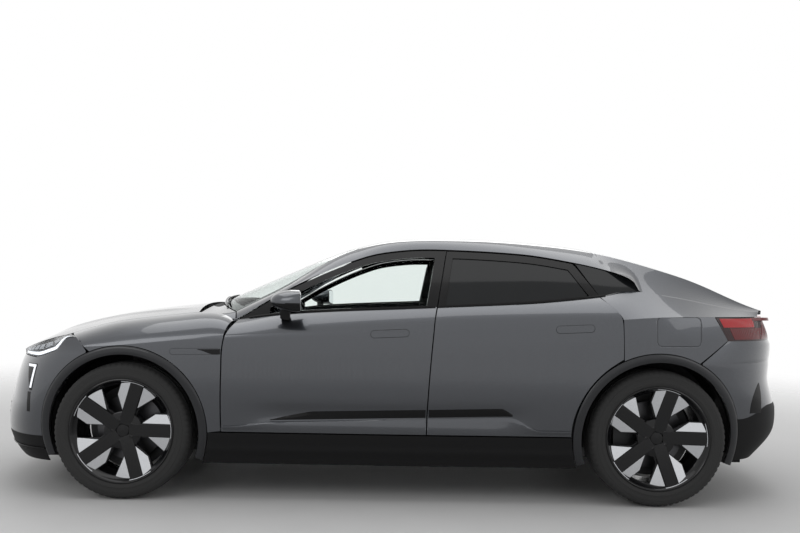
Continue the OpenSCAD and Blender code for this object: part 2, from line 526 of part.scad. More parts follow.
// Arch trims
function trim_grid(xa, d) = [for (j = [0 : 1]) [for (i = [0 : 24])
  let (a = mix(-20, 200, i / 24), r = mix(arch_r, band_r, j), x = xa + r * cos(a), z = hub_z
    + r * sin(a)) at(x, side_w(x, z) + 7 - d - 5 * (1 - j), z)]];

// Rocker cover in front of the sill
sill_w = hw - 92;
function rocker_grid(d) = [for (j = [0 : 3]) [for (i = [0 : 6])
  let (z = mix(sill_z, door_bottom_z - gap, j / 3), q = sqrt(arch_edge ^ 2 - (z - hub_z) ^ 2),
    x = mix(fa + q, ra - q, i / 6))
  at(x, d > 0 ? sill_w + seam : side_w(x, z) + 6 * (1 - j / 3), z)]];

// Fixed body side: quarter wall, shoulder, pillars, roof rail and sill
flap_x = ra + 101;
flap_z = crease_rear_z - 78;
flap_l = 246;
flap_h = 160;
module flap_prism(e, d) {
  translate(at(flap_x, hw - d, flap_z)) rotate([90, 0, 0]) linear_extrude(80)
    polygon([for (a = [0 : 10 : 350]) let (q = [cos(a), sin(a)])
      [sign(q[0]) * (flap_l / 2 - 26) + (26 - e) * q[0], sign(q[1]) * (flap_h / 2 - 26)
        + (26 - e) * q[1]]]);
}
flap_pin_x = flap_x - flap_l / 2 + 36;
flap_pin_z = flap_z - 25;
flap_pin_w = side_w(flap_pin_x, flap_pin_z) - 14;
module flap_bore(r, h) translate(at(flap_pin_x, flap_pin_w, flap_pin_z - h / 2)) cylinder(h = h, r = r,
  $fn = 32);
function pillar_w(z) = z < belt_mid_z + 12 ? side_w(mid_x(z), min(z,
  crease_mid_z)) - door_t - 24 - 50 * ease(crease_mid_z - 60, belt_mid_z, z)
  : glass_w(mid_x(z), z) - frame_t - 12;
function pillar_grid(d) = [for (z = [sill_z + 120, 500, 700, crease_mid_z - 60, belt_mid_z + 11,
  belt_mid_z + 40, 1280, overall_height - 112])
  [for (i = [0 : 1]) at(mid_x(z) - 58 + 140 * i - (z > belt_mid_z + 20 ? 14 * i : 0), pillar_w(z) - d, z)]];
module wheelhouse() {
  rotate([90, 0, 0]) translate([0, 0, hw - 204]) linear_extrude(66) difference() {
    translate([ra, hub_z]) circle(arch_r + 74, $fn = 64);
    translate([ra, hub_z]) circle(arch_r + 28, $fn = 64);
    translate([ra - 600, hub_z - 1200]) square([1200, 1110]);
    translate([ra + 250, hub_z - 200]) square([400, 800]);
  }
  box([ra - 90, -hw + 55, hub_z + arch_r + 54], [ra + 60, -hw + 204, hub_z + arch_r + 84]);
}
module side_frame() {
  difference() {
    union() {
      shell(quarter_grid(0), quarter_grid(wall_t));
      shell(strip_grid(0), strip_grid(wall_t));
      shell(rail_grid(0), rail_grid(wall_t));
      shell(pillar_grid(0), pillar_grid(50));
      box([fa + 492, -sill_w, sill_z], [ra - 492, -hw + 205, door_bottom_z - 16]);
      box([fa + 496, -hw + 96, sill_z + 60], [front_x(700) - gap - 2, -hw + 205, belt_mid_z - 104]);
      box([fa + 520, -hw + 175, belt_mid_z - 160], [fa + 576, -hw + 205, belt_mid_z - 100]);
      box([fa + 552, -hw + 192, belt_mid_z - 140], [fa + 577, -hw + 217, belt_mid_z - 84]);
      box([fa + 566, -hw + 192, belt_mid_z - 90], [fa + 618, -hw + 217, belt_mid_z - 66]);
      wheelhouse();
      hinge_arms(function(z) front_x(z), 90);
      hinge_arms(function(z) mid_x(z), 20);
    }
  }
}

// Cabin and underbody
module platform_shape() {
  w = hw - 205 - seam;
  box([fa + 515, -w, floor_z - 18], [ra - 462, w, floor_z]);
  box([ra - 463, -620, floor_z - 18], [ra - 350, 620, floor_z]);
  box([ra - 368, -620, floor_z - 18], [ra - 350, 620, 560]);
  box([ra - 368, -620, 542], [ra + 690, 620, 560]);
  box([ra + 660, -10, 542], [ra + 690, 10, 705]);
  box([ra + 660, -10, 695], [curve(tail_line, 700) - skin_t - 0.6, 10, 705]);
  both() {
    box([ra - 368, -638, 542], [ra + 560, -619, 1010]);
    box([ra - 480, -w, floor_z - 18], [ra - 464, -638, 700]);
    box([ra - 480, -638, floor_z - 18], [ra - 350, -619, 1010]);
  }
}
module bulkhead_shape() {
  box([fa + 496, -690, 300], [fa + 514.6, 690, 985]);
  both() {
    box([nose_x + 170, -455, 425], [fa + 497, -385, 520]);
    box([fa - 105, -hw + 300.4, 812], [fa + 105, -455, 832]);
    box([fa - 105, -470, 505], [fa + 105, -452, 832]);
    box([hood_pin_x - 26, -hood_pin_y - 50, 800], [hood_pin_x + 6, -hood_pin_y - 26, hood_pin_z + 6]);
    box([hood_pin_x - 26, -hood_pin_y - 50, 800], [fa + 500, -hood_pin_y - 26, 860]);
    translate([hood_pin_x, -hood_pin_y - 30, hood_pin_z]) rotate([-90, 0, 0]) cylinder(h = 50, r = pin_r,
      $fn = 40);
  }
  box([nose_x + 150, -560, 425], [nose_x + 171, 560, 520]);
}
// Cowl under the windscreen foot
function cowl_grid(low) = [for (j = [0 : 2]) [for (i = [-7 : 7])
  let (u = i / 7, y = u * 735, x = mix(hood_rear(y) + gap + 23, min(screen_p(u, 0)[0] + 30, fa + 511),
    j / 2))
  [x, y, low ? 985.3 : mix(hood_z(hood_back, y) - 46, screen_p(u * 0.95, 0)[2] - 30, j / 2)]]];
module cowl_shape() {
  difference() {
    shell(cowl_grid(false), cowl_grid(true));
    box([hood_pin_x - 60, -hood_pin_y - 54, 900], [hood_pin_x + 80, -hood_pin_y + 60, 1300]);
    box([hood_pin_x - 60, hood_pin_y - 60, 900], [hood_pin_x + 80, hood_pin_y + 54, 1300]);
  }
}
module front_tub_shape() {
  difference() {
    box([fa - 520, -384.6, 470], [fa - 130, 384.6, 840]);
    box([fa - 505, -370, 488], [fa - 145, 370, 850]);
  }
}
module dash_shape() {
  translate([0, 700, 0]) rotate([90, 0, 0]) linear_extrude(1400) polygon([[fa + 515, 620], [fa + 515,
    992], [fa + 640, 1008], [fa + 800, 985],
    [fa + 838, 930], [fa + 800, 860], [fa + 700, 800], [fa + 690, 640]]);
  box([fa + 690, -104, 318.3], [fa + 1500, 104, 560]);
  box([fa + 690, -104, 540], [fa + 780, 104, 700]);
  box([fa + 815, -200, 900], [fa + 835, 200, 1125]);
  translate(column_p) rotate([0, column_a, 0]) {
    translate([0, 0, -190]) cylinder(h = 100, r = 48, $fn = 40);
    translate([0, 0, -100]) cylinder(h = 108, r = 16, $fn = 40);
  }
}
column_p = [fa + 960, -seat_y, 965];
column_a = 68;
module steering_wheel_shape() {
  translate(column_p) rotate([0, column_a, 0]) {
    rotate_extrude($fn = 48) translate([wheel_rim_r - 16, 0]) circle(16, $fn = 12);
    difference() {
      translate([0, 0, -24]) cylinder(h = 40, r = 62, $fn = 40);
      translate([0, 0, -30]) cylinder(h = 39, r = 16 + pin_clear, $fn = 40);
    }
    for (a = [90, 180, 270]) rotate([0, 0, a]) translate([50, -17, -10]) cube([wheel_rim_r - 64, 34, 16]);
  }
}
module seat(x, w, back) {
  translate([x, w / 2, 0]) rotate([90, 0, 0]) linear_extrude(w)
    polygon([[0, 440], [30, 545], [110, 568], [430, 530], [520, 560], [600 + back, 1010], [660 + back,
      1030], [720 + back, 1000], [640, 520], [600, 440]]);
}
module front_seat() {
  translate([0, -seat_y, 0]) {
    seat(fa + 1075, 510, 60);
    translate([fa + 1075, 130, 0]) rotate([90, 0, 0]) linear_extrude(260) polygon([[648, 1020], [700,
      1200], [760, 1205], [775, 1010], [720, 1000]]);
    box([fa + 1135, -200, floor_z + 0.3], [fa + 1635, -150, 450]);
    box([fa + 1135, 150, floor_z + 0.3], [fa + 1635, 200, 450]);
  }
}
module bench_shape() {
  seat(ra - 1045, 1220, 90);
  for (y = [-400, 0, 400]) translate([ra - 1045, y + 120, 0]) rotate([90, 0,
    0]) linear_extrude(240) polygon([[678, 1020], [722, 1130], [775, 1132], [800, 1010], [750, 1000]]);
  box([ra - 990, -600, floor_z + 0.3], [ra - 490, 600, 460]);
}
module battery_shape() {
  box([fa + 560, -690, 165], [ra - 470, 690, floor_z - 18.3]);
}
module drive_shape() {
  box([fa - 120, -230, 260], [fa + 150, 230, 500]);
  box([fa - 60, -330, 212.4], [fa + 120, 330, 262]);
  box([ra - 190, -260, 240], [ra + 150, 260, 541.7]);
  both() {
    translate([fa, 0, hub_z]) rotate([90, 0, 0]) cylinder(h = kingpin_y - 62, r = 15, $fn = 24);
    translate([ra, 0, hub_z]) rotate([90, 0, 0]) cylinder(h = kingpin_y - 62, r = 15, $fn = 24);
  }
}
// Suspension: frame, arms and the pins of the steered knuckles
module arm(xa, z, y0, y1) {
  box([xa - 30, -y1, z - 12], [xa + 30, -y0, z + 12]);
}
module front_suspension_shape() {
  difference() {
    box([fa - 260, -384, 165], [fa + 300, 384, 212]);
    box([fa - 150, -260, 155], [fa + 190, 260, 220]);
  }
  both() {
    arm(fa, 174, 370, kingpin_y + 22);
    translate([fa, -kingpin_y, 174]) cylinder(h = 64, r = 10, $fn = 32);
    arm(fa, 596, 470, kingpin_y + 22);
    translate([fa, -kingpin_y, 544]) cylinder(h = 52, r = 10, $fn = 32);
    box([fa - 30, -500, 584], [fa + 30, -470.3, 811.7]);
    box([fa + 60, -430, 166], [fa + 130, -370, 424.7]);
  }
}
module rear_suspension_shape() {
  difference() {
    box([ra - 280, -420, 165], [ra + 260, 420, 210]);
    box([ra - 210, -280, 155], [ra + 190, 280, 220]);
  }
  both() {
    arm(ra, 178, 410, kingpin_y + 20);
    arm(ra, 515, 425, kingpin_y + 20);
    box([ra + 30, -480, 503], [ra + 120, -425, 527]);
    box([ra + 60, -470, 166], [ra + 120, -405, 541.7]);
    upright(ra);
  }
}
module caliper(s) {
  scale([s, 1, 1]) difference() {
    union() {
      box([disc_r - 62, -wheel_y + 14, hub_z - 72], [disc_r + 26, -kingpin_y, hub_z + 72]);
      box([30, -kingpin_y - 20, hub_z - 40], [disc_r, -kingpin_y + 16, hub_z + 40]);
    }
    box([0, -wheel_y + 30, hub_z - 80], [disc_r + 6, -wheel_y + 68, hub_z + 80]);
  }
}
module upright(xa) {
  translate([xa, 0, 0]) {
    box([-45, -kingpin_y - 20, 166], [45, -kingpin_y + 16, 530]);
    translate([0, -kingpin_y + 16, hub_z]) rotate([90, 0, 0]) cylinder(h = wheel_y + 10 - kingpin_y,
      r = spindle_r, $fn = 48);
    caliper(-1);
  }
}
module knuckle_shape() {
  difference() {
    translate([fa, 0, 0]) {
      box([-45, -kingpin_y - 20, 192], [45, -kingpin_y + 20, 583]);
      translate([0, -kingpin_y + 16, hub_z]) rotate([90, 0, 0]) cylinder(h = wheel_y + 10 - kingpin_y,
        r = spindle_r, $fn = 48);
      caliper(1);
    }
    translate([fa, -kingpin_y, 190]) cylinder(h = 50, r = 10 + pin_clear, $fn = 32);
    translate([fa, -kingpin_y, 542]) cylinder(h = 42, r = 10 + pin_clear, $fn = 32);
  }
}
module liner(xa, d) {
  rotate([90, 0, 0]) translate([0, 0, hw - 300 - d]) linear_extrude(130 + d)
    difference() {
      translate([xa, hub_z]) circle(arch_r + 20, $fn = 64);
      translate([xa, hub_z]) circle(arch_r + 16, $fn = 64);
      translate([xa - 600, hub_z - 1100]) square([1200, 1000]);
    }
}

module liner_tab(xa) {
  z = hub_z + arch_r + 18;
  box([xa - 20, -side_w(xa, z) + 23.4, z - 2], [xa + 20, -hw + 171, z + 2]);
}

// Wheel and tyre, spin axis along Y, outer face toward -Y
big_facet = [[107, 40], [182, 92], [rim_r - 26, 92], [rim_r - 15, 40]];
small_facet = [[142, -36], [rim_r - 16, -36], [rim_r - 49, -122]];
spoke_window = [[110, 46], [185, 97], [rim_r - 34, 97], [rim_r - 14, 150], [rim_r - 62, 224],
  [rim_r - 96, 192], [83, 128]];
facet_rise = 6.9;
facet_z = 88;
face_z = 96;
module facet_cut(shape, corner, lean) {
  translate([corner[0], corner[1], facet_z]) rotate([lean, -facet_rise, 0])
    translate([-corner[0], -corner[1], 0]) linear_extrude(50) polygon(shape);
}
module wheel_face() {
  difference() {
    rotate_extrude($fn = 96) polygon([[0, 40], [0, face_z], [60, face_z], [110, face_z - 3],
      [rim_r - 18, face_z + 17], [rim_r - 16, face_z - 4], [rim_r - 34, 84], [110, 60], [70, 40]]);
    for (k = [0 : spoke_groups - 1]) rotate([0, 0, k * 360 / spoke_groups]) {
      translate([0, 0, 30]) linear_extrude(100) polygon(spoke_window);
      facet_cut(big_facet, big_facet[0], -7);
      facet_cut(small_facet, small_facet[0], 5);
    }
    translate([0, 0, face_z - 8]) difference() {
      cylinder(h = 20, r = 46, $fn = 48);
      cylinder(h = 20, r = 36, $fn = 48);
    }
  }
}
module wheel_shape() {
  w = tyre_w / 2;
  rotate([90, 0, 0]) difference() {
    union() {
      rotate_extrude($fn = 96) polygon([[rim_r - 30, -w + 22], [rim_r, -w + 14], [rim_r, -w + 26],
        [rim_r - 14, -w + 34], [rim_r - 24, 0], [rim_r - 14, w - 30], [rim_r, w - 22], [rim_r, w - 8],
        [rim_r - 12, w - 8], [rim_r - 34, w - 36], [rim_r - 38, 0]]);
      wheel_face();
      translate([0, 0, -60]) cylinder(h = 110, r = 72, $fn = 48);
      translate([0, 0, -62]) cylinder(h = 26, r = disc_r, $fn = 72);
    }
    translate([0, 0, -80]) cylinder(h = 140, r = spindle_r + pin_clear, $fn = 48);
  }
}
module tyre_shape() {
  r = tyre_od / 2;
  w = tyre_w / 2;
  rotate([90, 0, 0]) rotate_extrude($fn = 96) polygon([[rim_r + seam, -w + 24], [rim_r + 12, -w + 8],
    [r - 52, -w], [r - 18, -w + 8], [r - 4, -w + 30], [r, 0], [r - 4, w - 30],
    [r - 18, w - 8], [r - 52, w], [rim_r + 12, w - 4], [rim_r + seam, w - 18]]);
}
mirror_x = fa + 975;
mirror_z = 1138;
module mirror_foot(e) box([fa + 880 - e, -belt_w(fa + 880) - 60 - 200 * e, belt_mid_z - 92 - e], [fa
  + 930 + e, -belt_w(fa + 880) + e, belt_mid_z - 66 + e]);
function mirror_grid(back) = [for (j = [-4 : 4]) [for (i = [-5 : 5])
  let (u = i / 5, v = j / 4, y = -hw + 8 - 78 * u * (1 - 0.16 * v * v), z = mirror_z
    + 58 * v * (1 - 0.2 * u * u) - 8 * u)
  [mirror_x + 12 * u + (back ? 6 : -118 * sqrt((1 - 0.88 * u * u) * (1 - 0.88 * v * v))), y, z]]];
module mirror_shape() {
  shell(mirror_grid(false), mirror_grid(true));
  mirror_foot(0);
  box([fa + 880, -hw + 16, belt_mid_z - 92], [fa + 930, -belt_w(fa + 880) - 50, belt_mid_z - 66]);
  box([fa + 880, -hw + 16, belt_mid_z - 92], [fa + 930, -hw + 62, mirror_z - 20]);
}
module quarter_pane() {
  shell(quarter_glass(0), quarter_glass(glass_t));
}
function quarter_glass(d) = [for (j = [0 : 3]) [for (i = [0 : 7])
  let (u = i / 7, xa = mix(rear_x(belt_z(ra - 290)) + gap / 2, tip_x - 64, u), xb = mix(rear_x(1360)
    + gap / 2, tip_x - 72, u))
  let (za = quarter_top(xa, 1)[2] + 1.5, zb = rail_low(xb)[2] - 2.5, x = mix(xa, xb, j / 3), z = mix(za,
    zb, j / 3)) at(x, glass_w(x, z) - 5 - d, z)]];
paint = [0.2, 0.21, 0.23];
black = [0.05, 0.05, 0.05];
module right() mirror([0, 1, 0]) children();
module platform() color([0.15, 0.15, 0.16]) platform_shape();
module body_side_left() color(paint) {
  difference() {
    side_frame();
    flap_prism(-7.6, 58);
  }
  flap_bore(4, 72);
  for (z = [-37, 30]) box([flap_pin_x - 5, -flap_pin_w, flap_pin_z + z], [flap_pin_x + 5, -hw + 60,
    flap_pin_z + z + 7]);
  translate([flap_x + 10, -hw + 60, flap_z]) rotate([90, 0, 0]) cylinder(h = 16, r = 42, $fn = 40);
}
module body_side_right() color(paint) right() side_frame();
module bulkhead() color([0.2, 0.2, 0.2]) bulkhead_shape();
module cowl() color(black) cowl_shape();
module front_tub() color(black) front_tub_shape();
module fender_left() color(paint) shell(fender_grid(0), fender_grid(skin_t));
module fender_right() color(paint) right() shell(fender_grid(0), fender_grid(skin_t));
module front_bumper() color(paint) shell(nose_grid(lip_top, -1, 0, 8), nose_grid(lip_top, -1, skin_t, 8));
module front_lip() color(black) shell(nose_grid(190, lip_top - seam, 0, 2), nose_grid(190,
  lip_top - seam, skin_t, 2));
module rear_bumper() color(paint) shell(tail_grid(diffuser_top, -1, 0, 8), tail_grid(diffuser_top, -1,
  skin_t, 8));
module rear_diffuser() color(black) shell(tail_grid(250, diffuser_top - seam, 0, 4), tail_grid(250,
  diffuser_top - seam, skin_t, 4));
module arch_trims() color(paint) both() {
  shell(trim_grid(fa, 0), trim_grid(fa, 26));
  shell(trim_grid(ra, 0), trim_grid(ra, 26));
}
module rocker_covers() color(black) both() shell(rocker_grid(0), rocker_grid(1));
module roof_frame() color(black) roof_bows();
module roof_glass() color([0.08, 0.08, 0.09]) shell(roof_grid(0, 3), roof_grid(6, 6));
module windscreen() color([0.5, 0.55, 0.55, 0.4]) shell(screen_grid(0, 1.5), screen_grid(5, 5));
module quarter_panes() color(black) both() quarter_pane();
module headlamps() color([0.8, 0.82, 0.85]) both() shell(lamp_grid(0), lamp_grid(30));
module tail_lamps() color([0.5, 0.05, 0.05]) both() shell(tail_lamp_grid(0), tail_lamp_grid(40));
module dashboard() color([0.1, 0.1, 0.11]) dash_shape();
module front_seats() color([0.12, 0.12, 0.13]) both() front_seat();
module rear_bench() color([0.12, 0.12, 0.13]) bench_shape();
module battery_pack() color([0.3, 0.3, 0.3]) battery_shape();
module drive_units() color([0.5, 0.5, 0.5]) drive_shape();
module front_suspension() color([0.3, 0.3, 0.3]) front_suspension_shape();
module rear_suspension() color([0.3, 0.3, 0.3]) rear_suspension_shape();
module wheel_liners() color(black) both() {
  liner(fa, 0);
  liner_tab(fa);
  liner_tab(ra);
  liner(ra, hw - 938.4);
}
module door_front_left() color(paint) front_door();
module door_front_right() color(paint) right() front_door();
module door_rear_left() color(paint) rear_door();
module door_rear_right() color(paint) right() rear_door();
module glass_front_left() color([0.4, 0.45, 0.45, 0.4]) front_pane();
module glass_front_right() color([0.4, 0.45, 0.45, 0.4]) right() front_pane();
module glass_rear_left() color([0.1, 0.1, 0.1, 0.5]) rear_pane();
module glass_rear_right() color([0.1, 0.1, 0.1, 0.5]) right() rear_pane();
module mirror_left() color(paint) mirror_shape();
module mirror_right() color(paint) right() mirror_shape();
module hood() color(paint) hood_shape();
module tailgate() color(paint) gate_shape();
module charge_flap() color(paint) difference() {
  union() {
    intersection() {
      flap_prism(0, 40);
      shell(quarter_grid(0), quarter_grid(7));
    }
    flap_bore(8.5, 48);
  }
  flap_bore(4 + pin_clear, 50);
}
module steering_wheel() color(black) steering_wheel_shape();
module knuckle_left() color([0.4, 0.4, 0.4]) knuckle_shape();
module knuckle_right() color([0.4, 0.4, 0.4]) right() knuckle_shape();
module wheel_front_left() color([0.3, 0.3, 0.3]) translate([fa, -wheel_y, hub_z]) wheel_shape();
module wheel_front_right() color([0.3, 0.3, 0.3]) right() translate([fa, -wheel_y, hub_z]) wheel_shape();
module wheel_rear_left() color([0.3, 0.3, 0.3]) translate([ra, -wheel_y, hub_z]) wheel_shape();
module wheel_rear_right() color([0.3, 0.3, 0.3]) right() translate([ra, -wheel_y, hub_z]) wheel_shape();
module tyre_front_left() color(black) translate([fa, -wheel_y, hub_z]) tyre_shape();
module tyre_front_right() color(black) right() translate([fa, -wheel_y, hub_z]) tyre_shape();
module tyre_rear_left() color(black) translate([ra, -wheel_y, hub_z]) tyre_shape();
module tyre_rear_right() color(black) right() translate([ra, -wheel_y, hub_z]) tyre_shape();
platform();
body_side_left();
body_side_right();
bulkhead();
cowl();
front_tub();
fender_left();
fender_right();
front_bumper();
front_lip();
rear_bumper();
rear_diffuser();
arch_trims();
rocker_covers();
roof_frame();
roof_glass();
windscreen();
quarter_panes();
headlamps();
tail_lamps();
dashboard();
front_seats();
rear_bench();
battery_pack();
drive_units();
front_suspension();
rear_suspension();
wheel_liners();
door_front_left();
door_front_right();
door_rear_left();
door_rear_right();
glass_front_left();
glass_front_right();
glass_rear_left();
glass_rear_right();
mirror_left();
mirror_right();
hood();
tailgate();
charge_flap();
steering_wheel();
knuckle_left();
knuckle_right();
wheel_front_left();
wheel_front_right();
wheel_rear_left();
wheel_rear_right();
tyre_front_left();
tyre_front_right();
tyre_rear_left();
tyre_rear_right();
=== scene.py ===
"""Looks of the coupe sport utility vehicle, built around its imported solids.

Body lines are worked out in millimetres, X rearward, Y to the vehicle's right, Z up, and every mesh is
made in metres in the frame's own place.
"""
import json
import logging
import math
from dataclasses import dataclass, field
from enum import Enum
from typing import Callable, Optional, Sequence

import bpy
import numpy as np
from mathutils import Matrix, Vector

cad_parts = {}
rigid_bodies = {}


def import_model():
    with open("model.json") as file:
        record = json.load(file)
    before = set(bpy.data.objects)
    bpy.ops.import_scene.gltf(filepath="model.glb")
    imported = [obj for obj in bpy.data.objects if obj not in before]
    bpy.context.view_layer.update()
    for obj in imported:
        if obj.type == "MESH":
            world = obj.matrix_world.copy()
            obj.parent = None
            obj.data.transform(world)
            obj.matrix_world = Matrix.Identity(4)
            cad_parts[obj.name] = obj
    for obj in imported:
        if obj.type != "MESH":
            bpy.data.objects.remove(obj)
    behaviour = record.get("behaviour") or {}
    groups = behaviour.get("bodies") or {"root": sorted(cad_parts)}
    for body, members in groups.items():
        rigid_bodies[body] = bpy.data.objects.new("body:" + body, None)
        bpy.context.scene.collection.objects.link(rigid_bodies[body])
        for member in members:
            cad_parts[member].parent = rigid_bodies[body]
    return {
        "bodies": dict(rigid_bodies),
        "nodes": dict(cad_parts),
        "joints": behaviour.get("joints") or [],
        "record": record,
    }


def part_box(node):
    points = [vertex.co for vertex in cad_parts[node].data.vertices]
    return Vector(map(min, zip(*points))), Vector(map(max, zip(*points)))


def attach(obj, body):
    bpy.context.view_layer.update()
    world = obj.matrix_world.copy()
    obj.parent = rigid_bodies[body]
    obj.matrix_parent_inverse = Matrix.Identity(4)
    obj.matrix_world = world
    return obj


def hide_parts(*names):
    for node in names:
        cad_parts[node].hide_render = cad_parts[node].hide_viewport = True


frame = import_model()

LOG = logging.getLogger("vehicle")
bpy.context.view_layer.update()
MM = 0.001
Array = np.ndarray
Piece = bpy.types.Object
GATE_BOW = 0.00024
FACE_BOW = 0.00029
SCREEN_WAY = np.array([-0.4, 0, 0.9])
Line = Callable[[Array], Array]


def mix(a: Array, b: Array, t: Array) -> Array:
    """Straight blend from a to b."""
    return a + (b - a) * t


def ease(a: float, b: float, x: Array) -> Array:
    """Smooth step from 0 at a to 1 at b."""
    q = np.clip((np.asarray(x, float) - a) / (b - a), 0, 1)
    return q * q * (3 - 2 * q)


def bow(a: Array, k: Array, b: Array, t: Array) -> Array:
    """Arc from a to b that leans towards k."""
    return (1 - t) ** 2 * a + 2 * t * (1 - t) * k + t ** 2 * b


def bow3(a: Array, k: Array, m: Array, b: Array, t: Array) -> Array:
    """Arc from a to b with two guide values."""
    return (1 - t) ** 3 * a + 3 * t * (1 - t) ** 2 * k + 3 * t ** 2 * (1 - t) * m + t ** 3 * b


def at(x: Array, w: Array, z: Array) -> Array:
    """Points on the left side, w outboard of the middle plane."""
    return np.stack(np.broadcast_arrays(np.asarray(x, float), -np.asarray(w, float), np.asarray(z, float)),
                    -1)


def lattice(cols: Array, rows: Array) -> tuple[Array, Array]:
    """Column and row places of a grid, each shaped (rows, columns)."""
    return np.meshgrid(np.asarray(cols, float), np.asarray(rows, float))


def steps(n: int, a: float = 0.0, b: float = 1.0) -> Array:
    """n equal steps from a to b."""
    return np.linspace(a, b, n + 1)


class Side(Enum):
    """A side of the vehicle."""

    LEFT = -1
    RIGHT = 1

    @property
    def word(self) -> str:
        """The side's name in pieces and nodes."""
        return self.name.lower()

    def turn(self, points: Array) -> Array:
        """Left-hand points moved to this side.

        Args:
            points: points of the left-hand side.

        Returns:
            The points on this side.
        """
        out = np.array(points, float)
        if self is Side.RIGHT:
            out[..., 1] *= -1
        return out


class Curve:
    """Smooth line through [place, value] pairs."""

    def __init__(self, *pairs: tuple[float, float]) -> None:
        """Keeps the pairs and their slopes.

        Args:
            pairs: places and values, in rising order of place.
        """
        self.x = np.array([p[0] for p in pairs], float)
        self.y = np.array([p[1] for p in pairs], float)
        low = np.maximum(np.arange(len(pairs)) - 1, 0)
        high = np.minimum(np.arange(len(pairs)) + 1, len(pairs) - 1)
        self.slope = (self.y[high] - self.y[low]) / (self.x[high] - self.x[low])

    def __call__(self, x: Array) -> Array:
        """Values of the line at x, straight beyond its ends.

        Args:
            x: places where the line is read.

        Returns:
            The values there.
        """
        x = np.asarray(x, float)
        i = np.clip(np.searchsorted(self.x, x, side="right") - 1, 0, len(self.x) - 2)
        h = self.x[i + 1] - self.x[i]
        r = (x - self.x[i]) / h
        q = np.clip(r, 0, 1)
        m, n = self.slope[i] * h, self.slope[i + 1] * h
        v = (2 * q ** 3 - 3 * q ** 2 + 1) * self.y[i] + (q ** 3 - 2 * q ** 2 + q) * m
        v = v + (3 * q ** 2 - 2 * q ** 3) * self.y[i + 1] + (q ** 3 - q ** 2) * n
        return v + np.where(r < 0, r * m, 0) + np.where(r > 1, (r - 1) * n, 0)


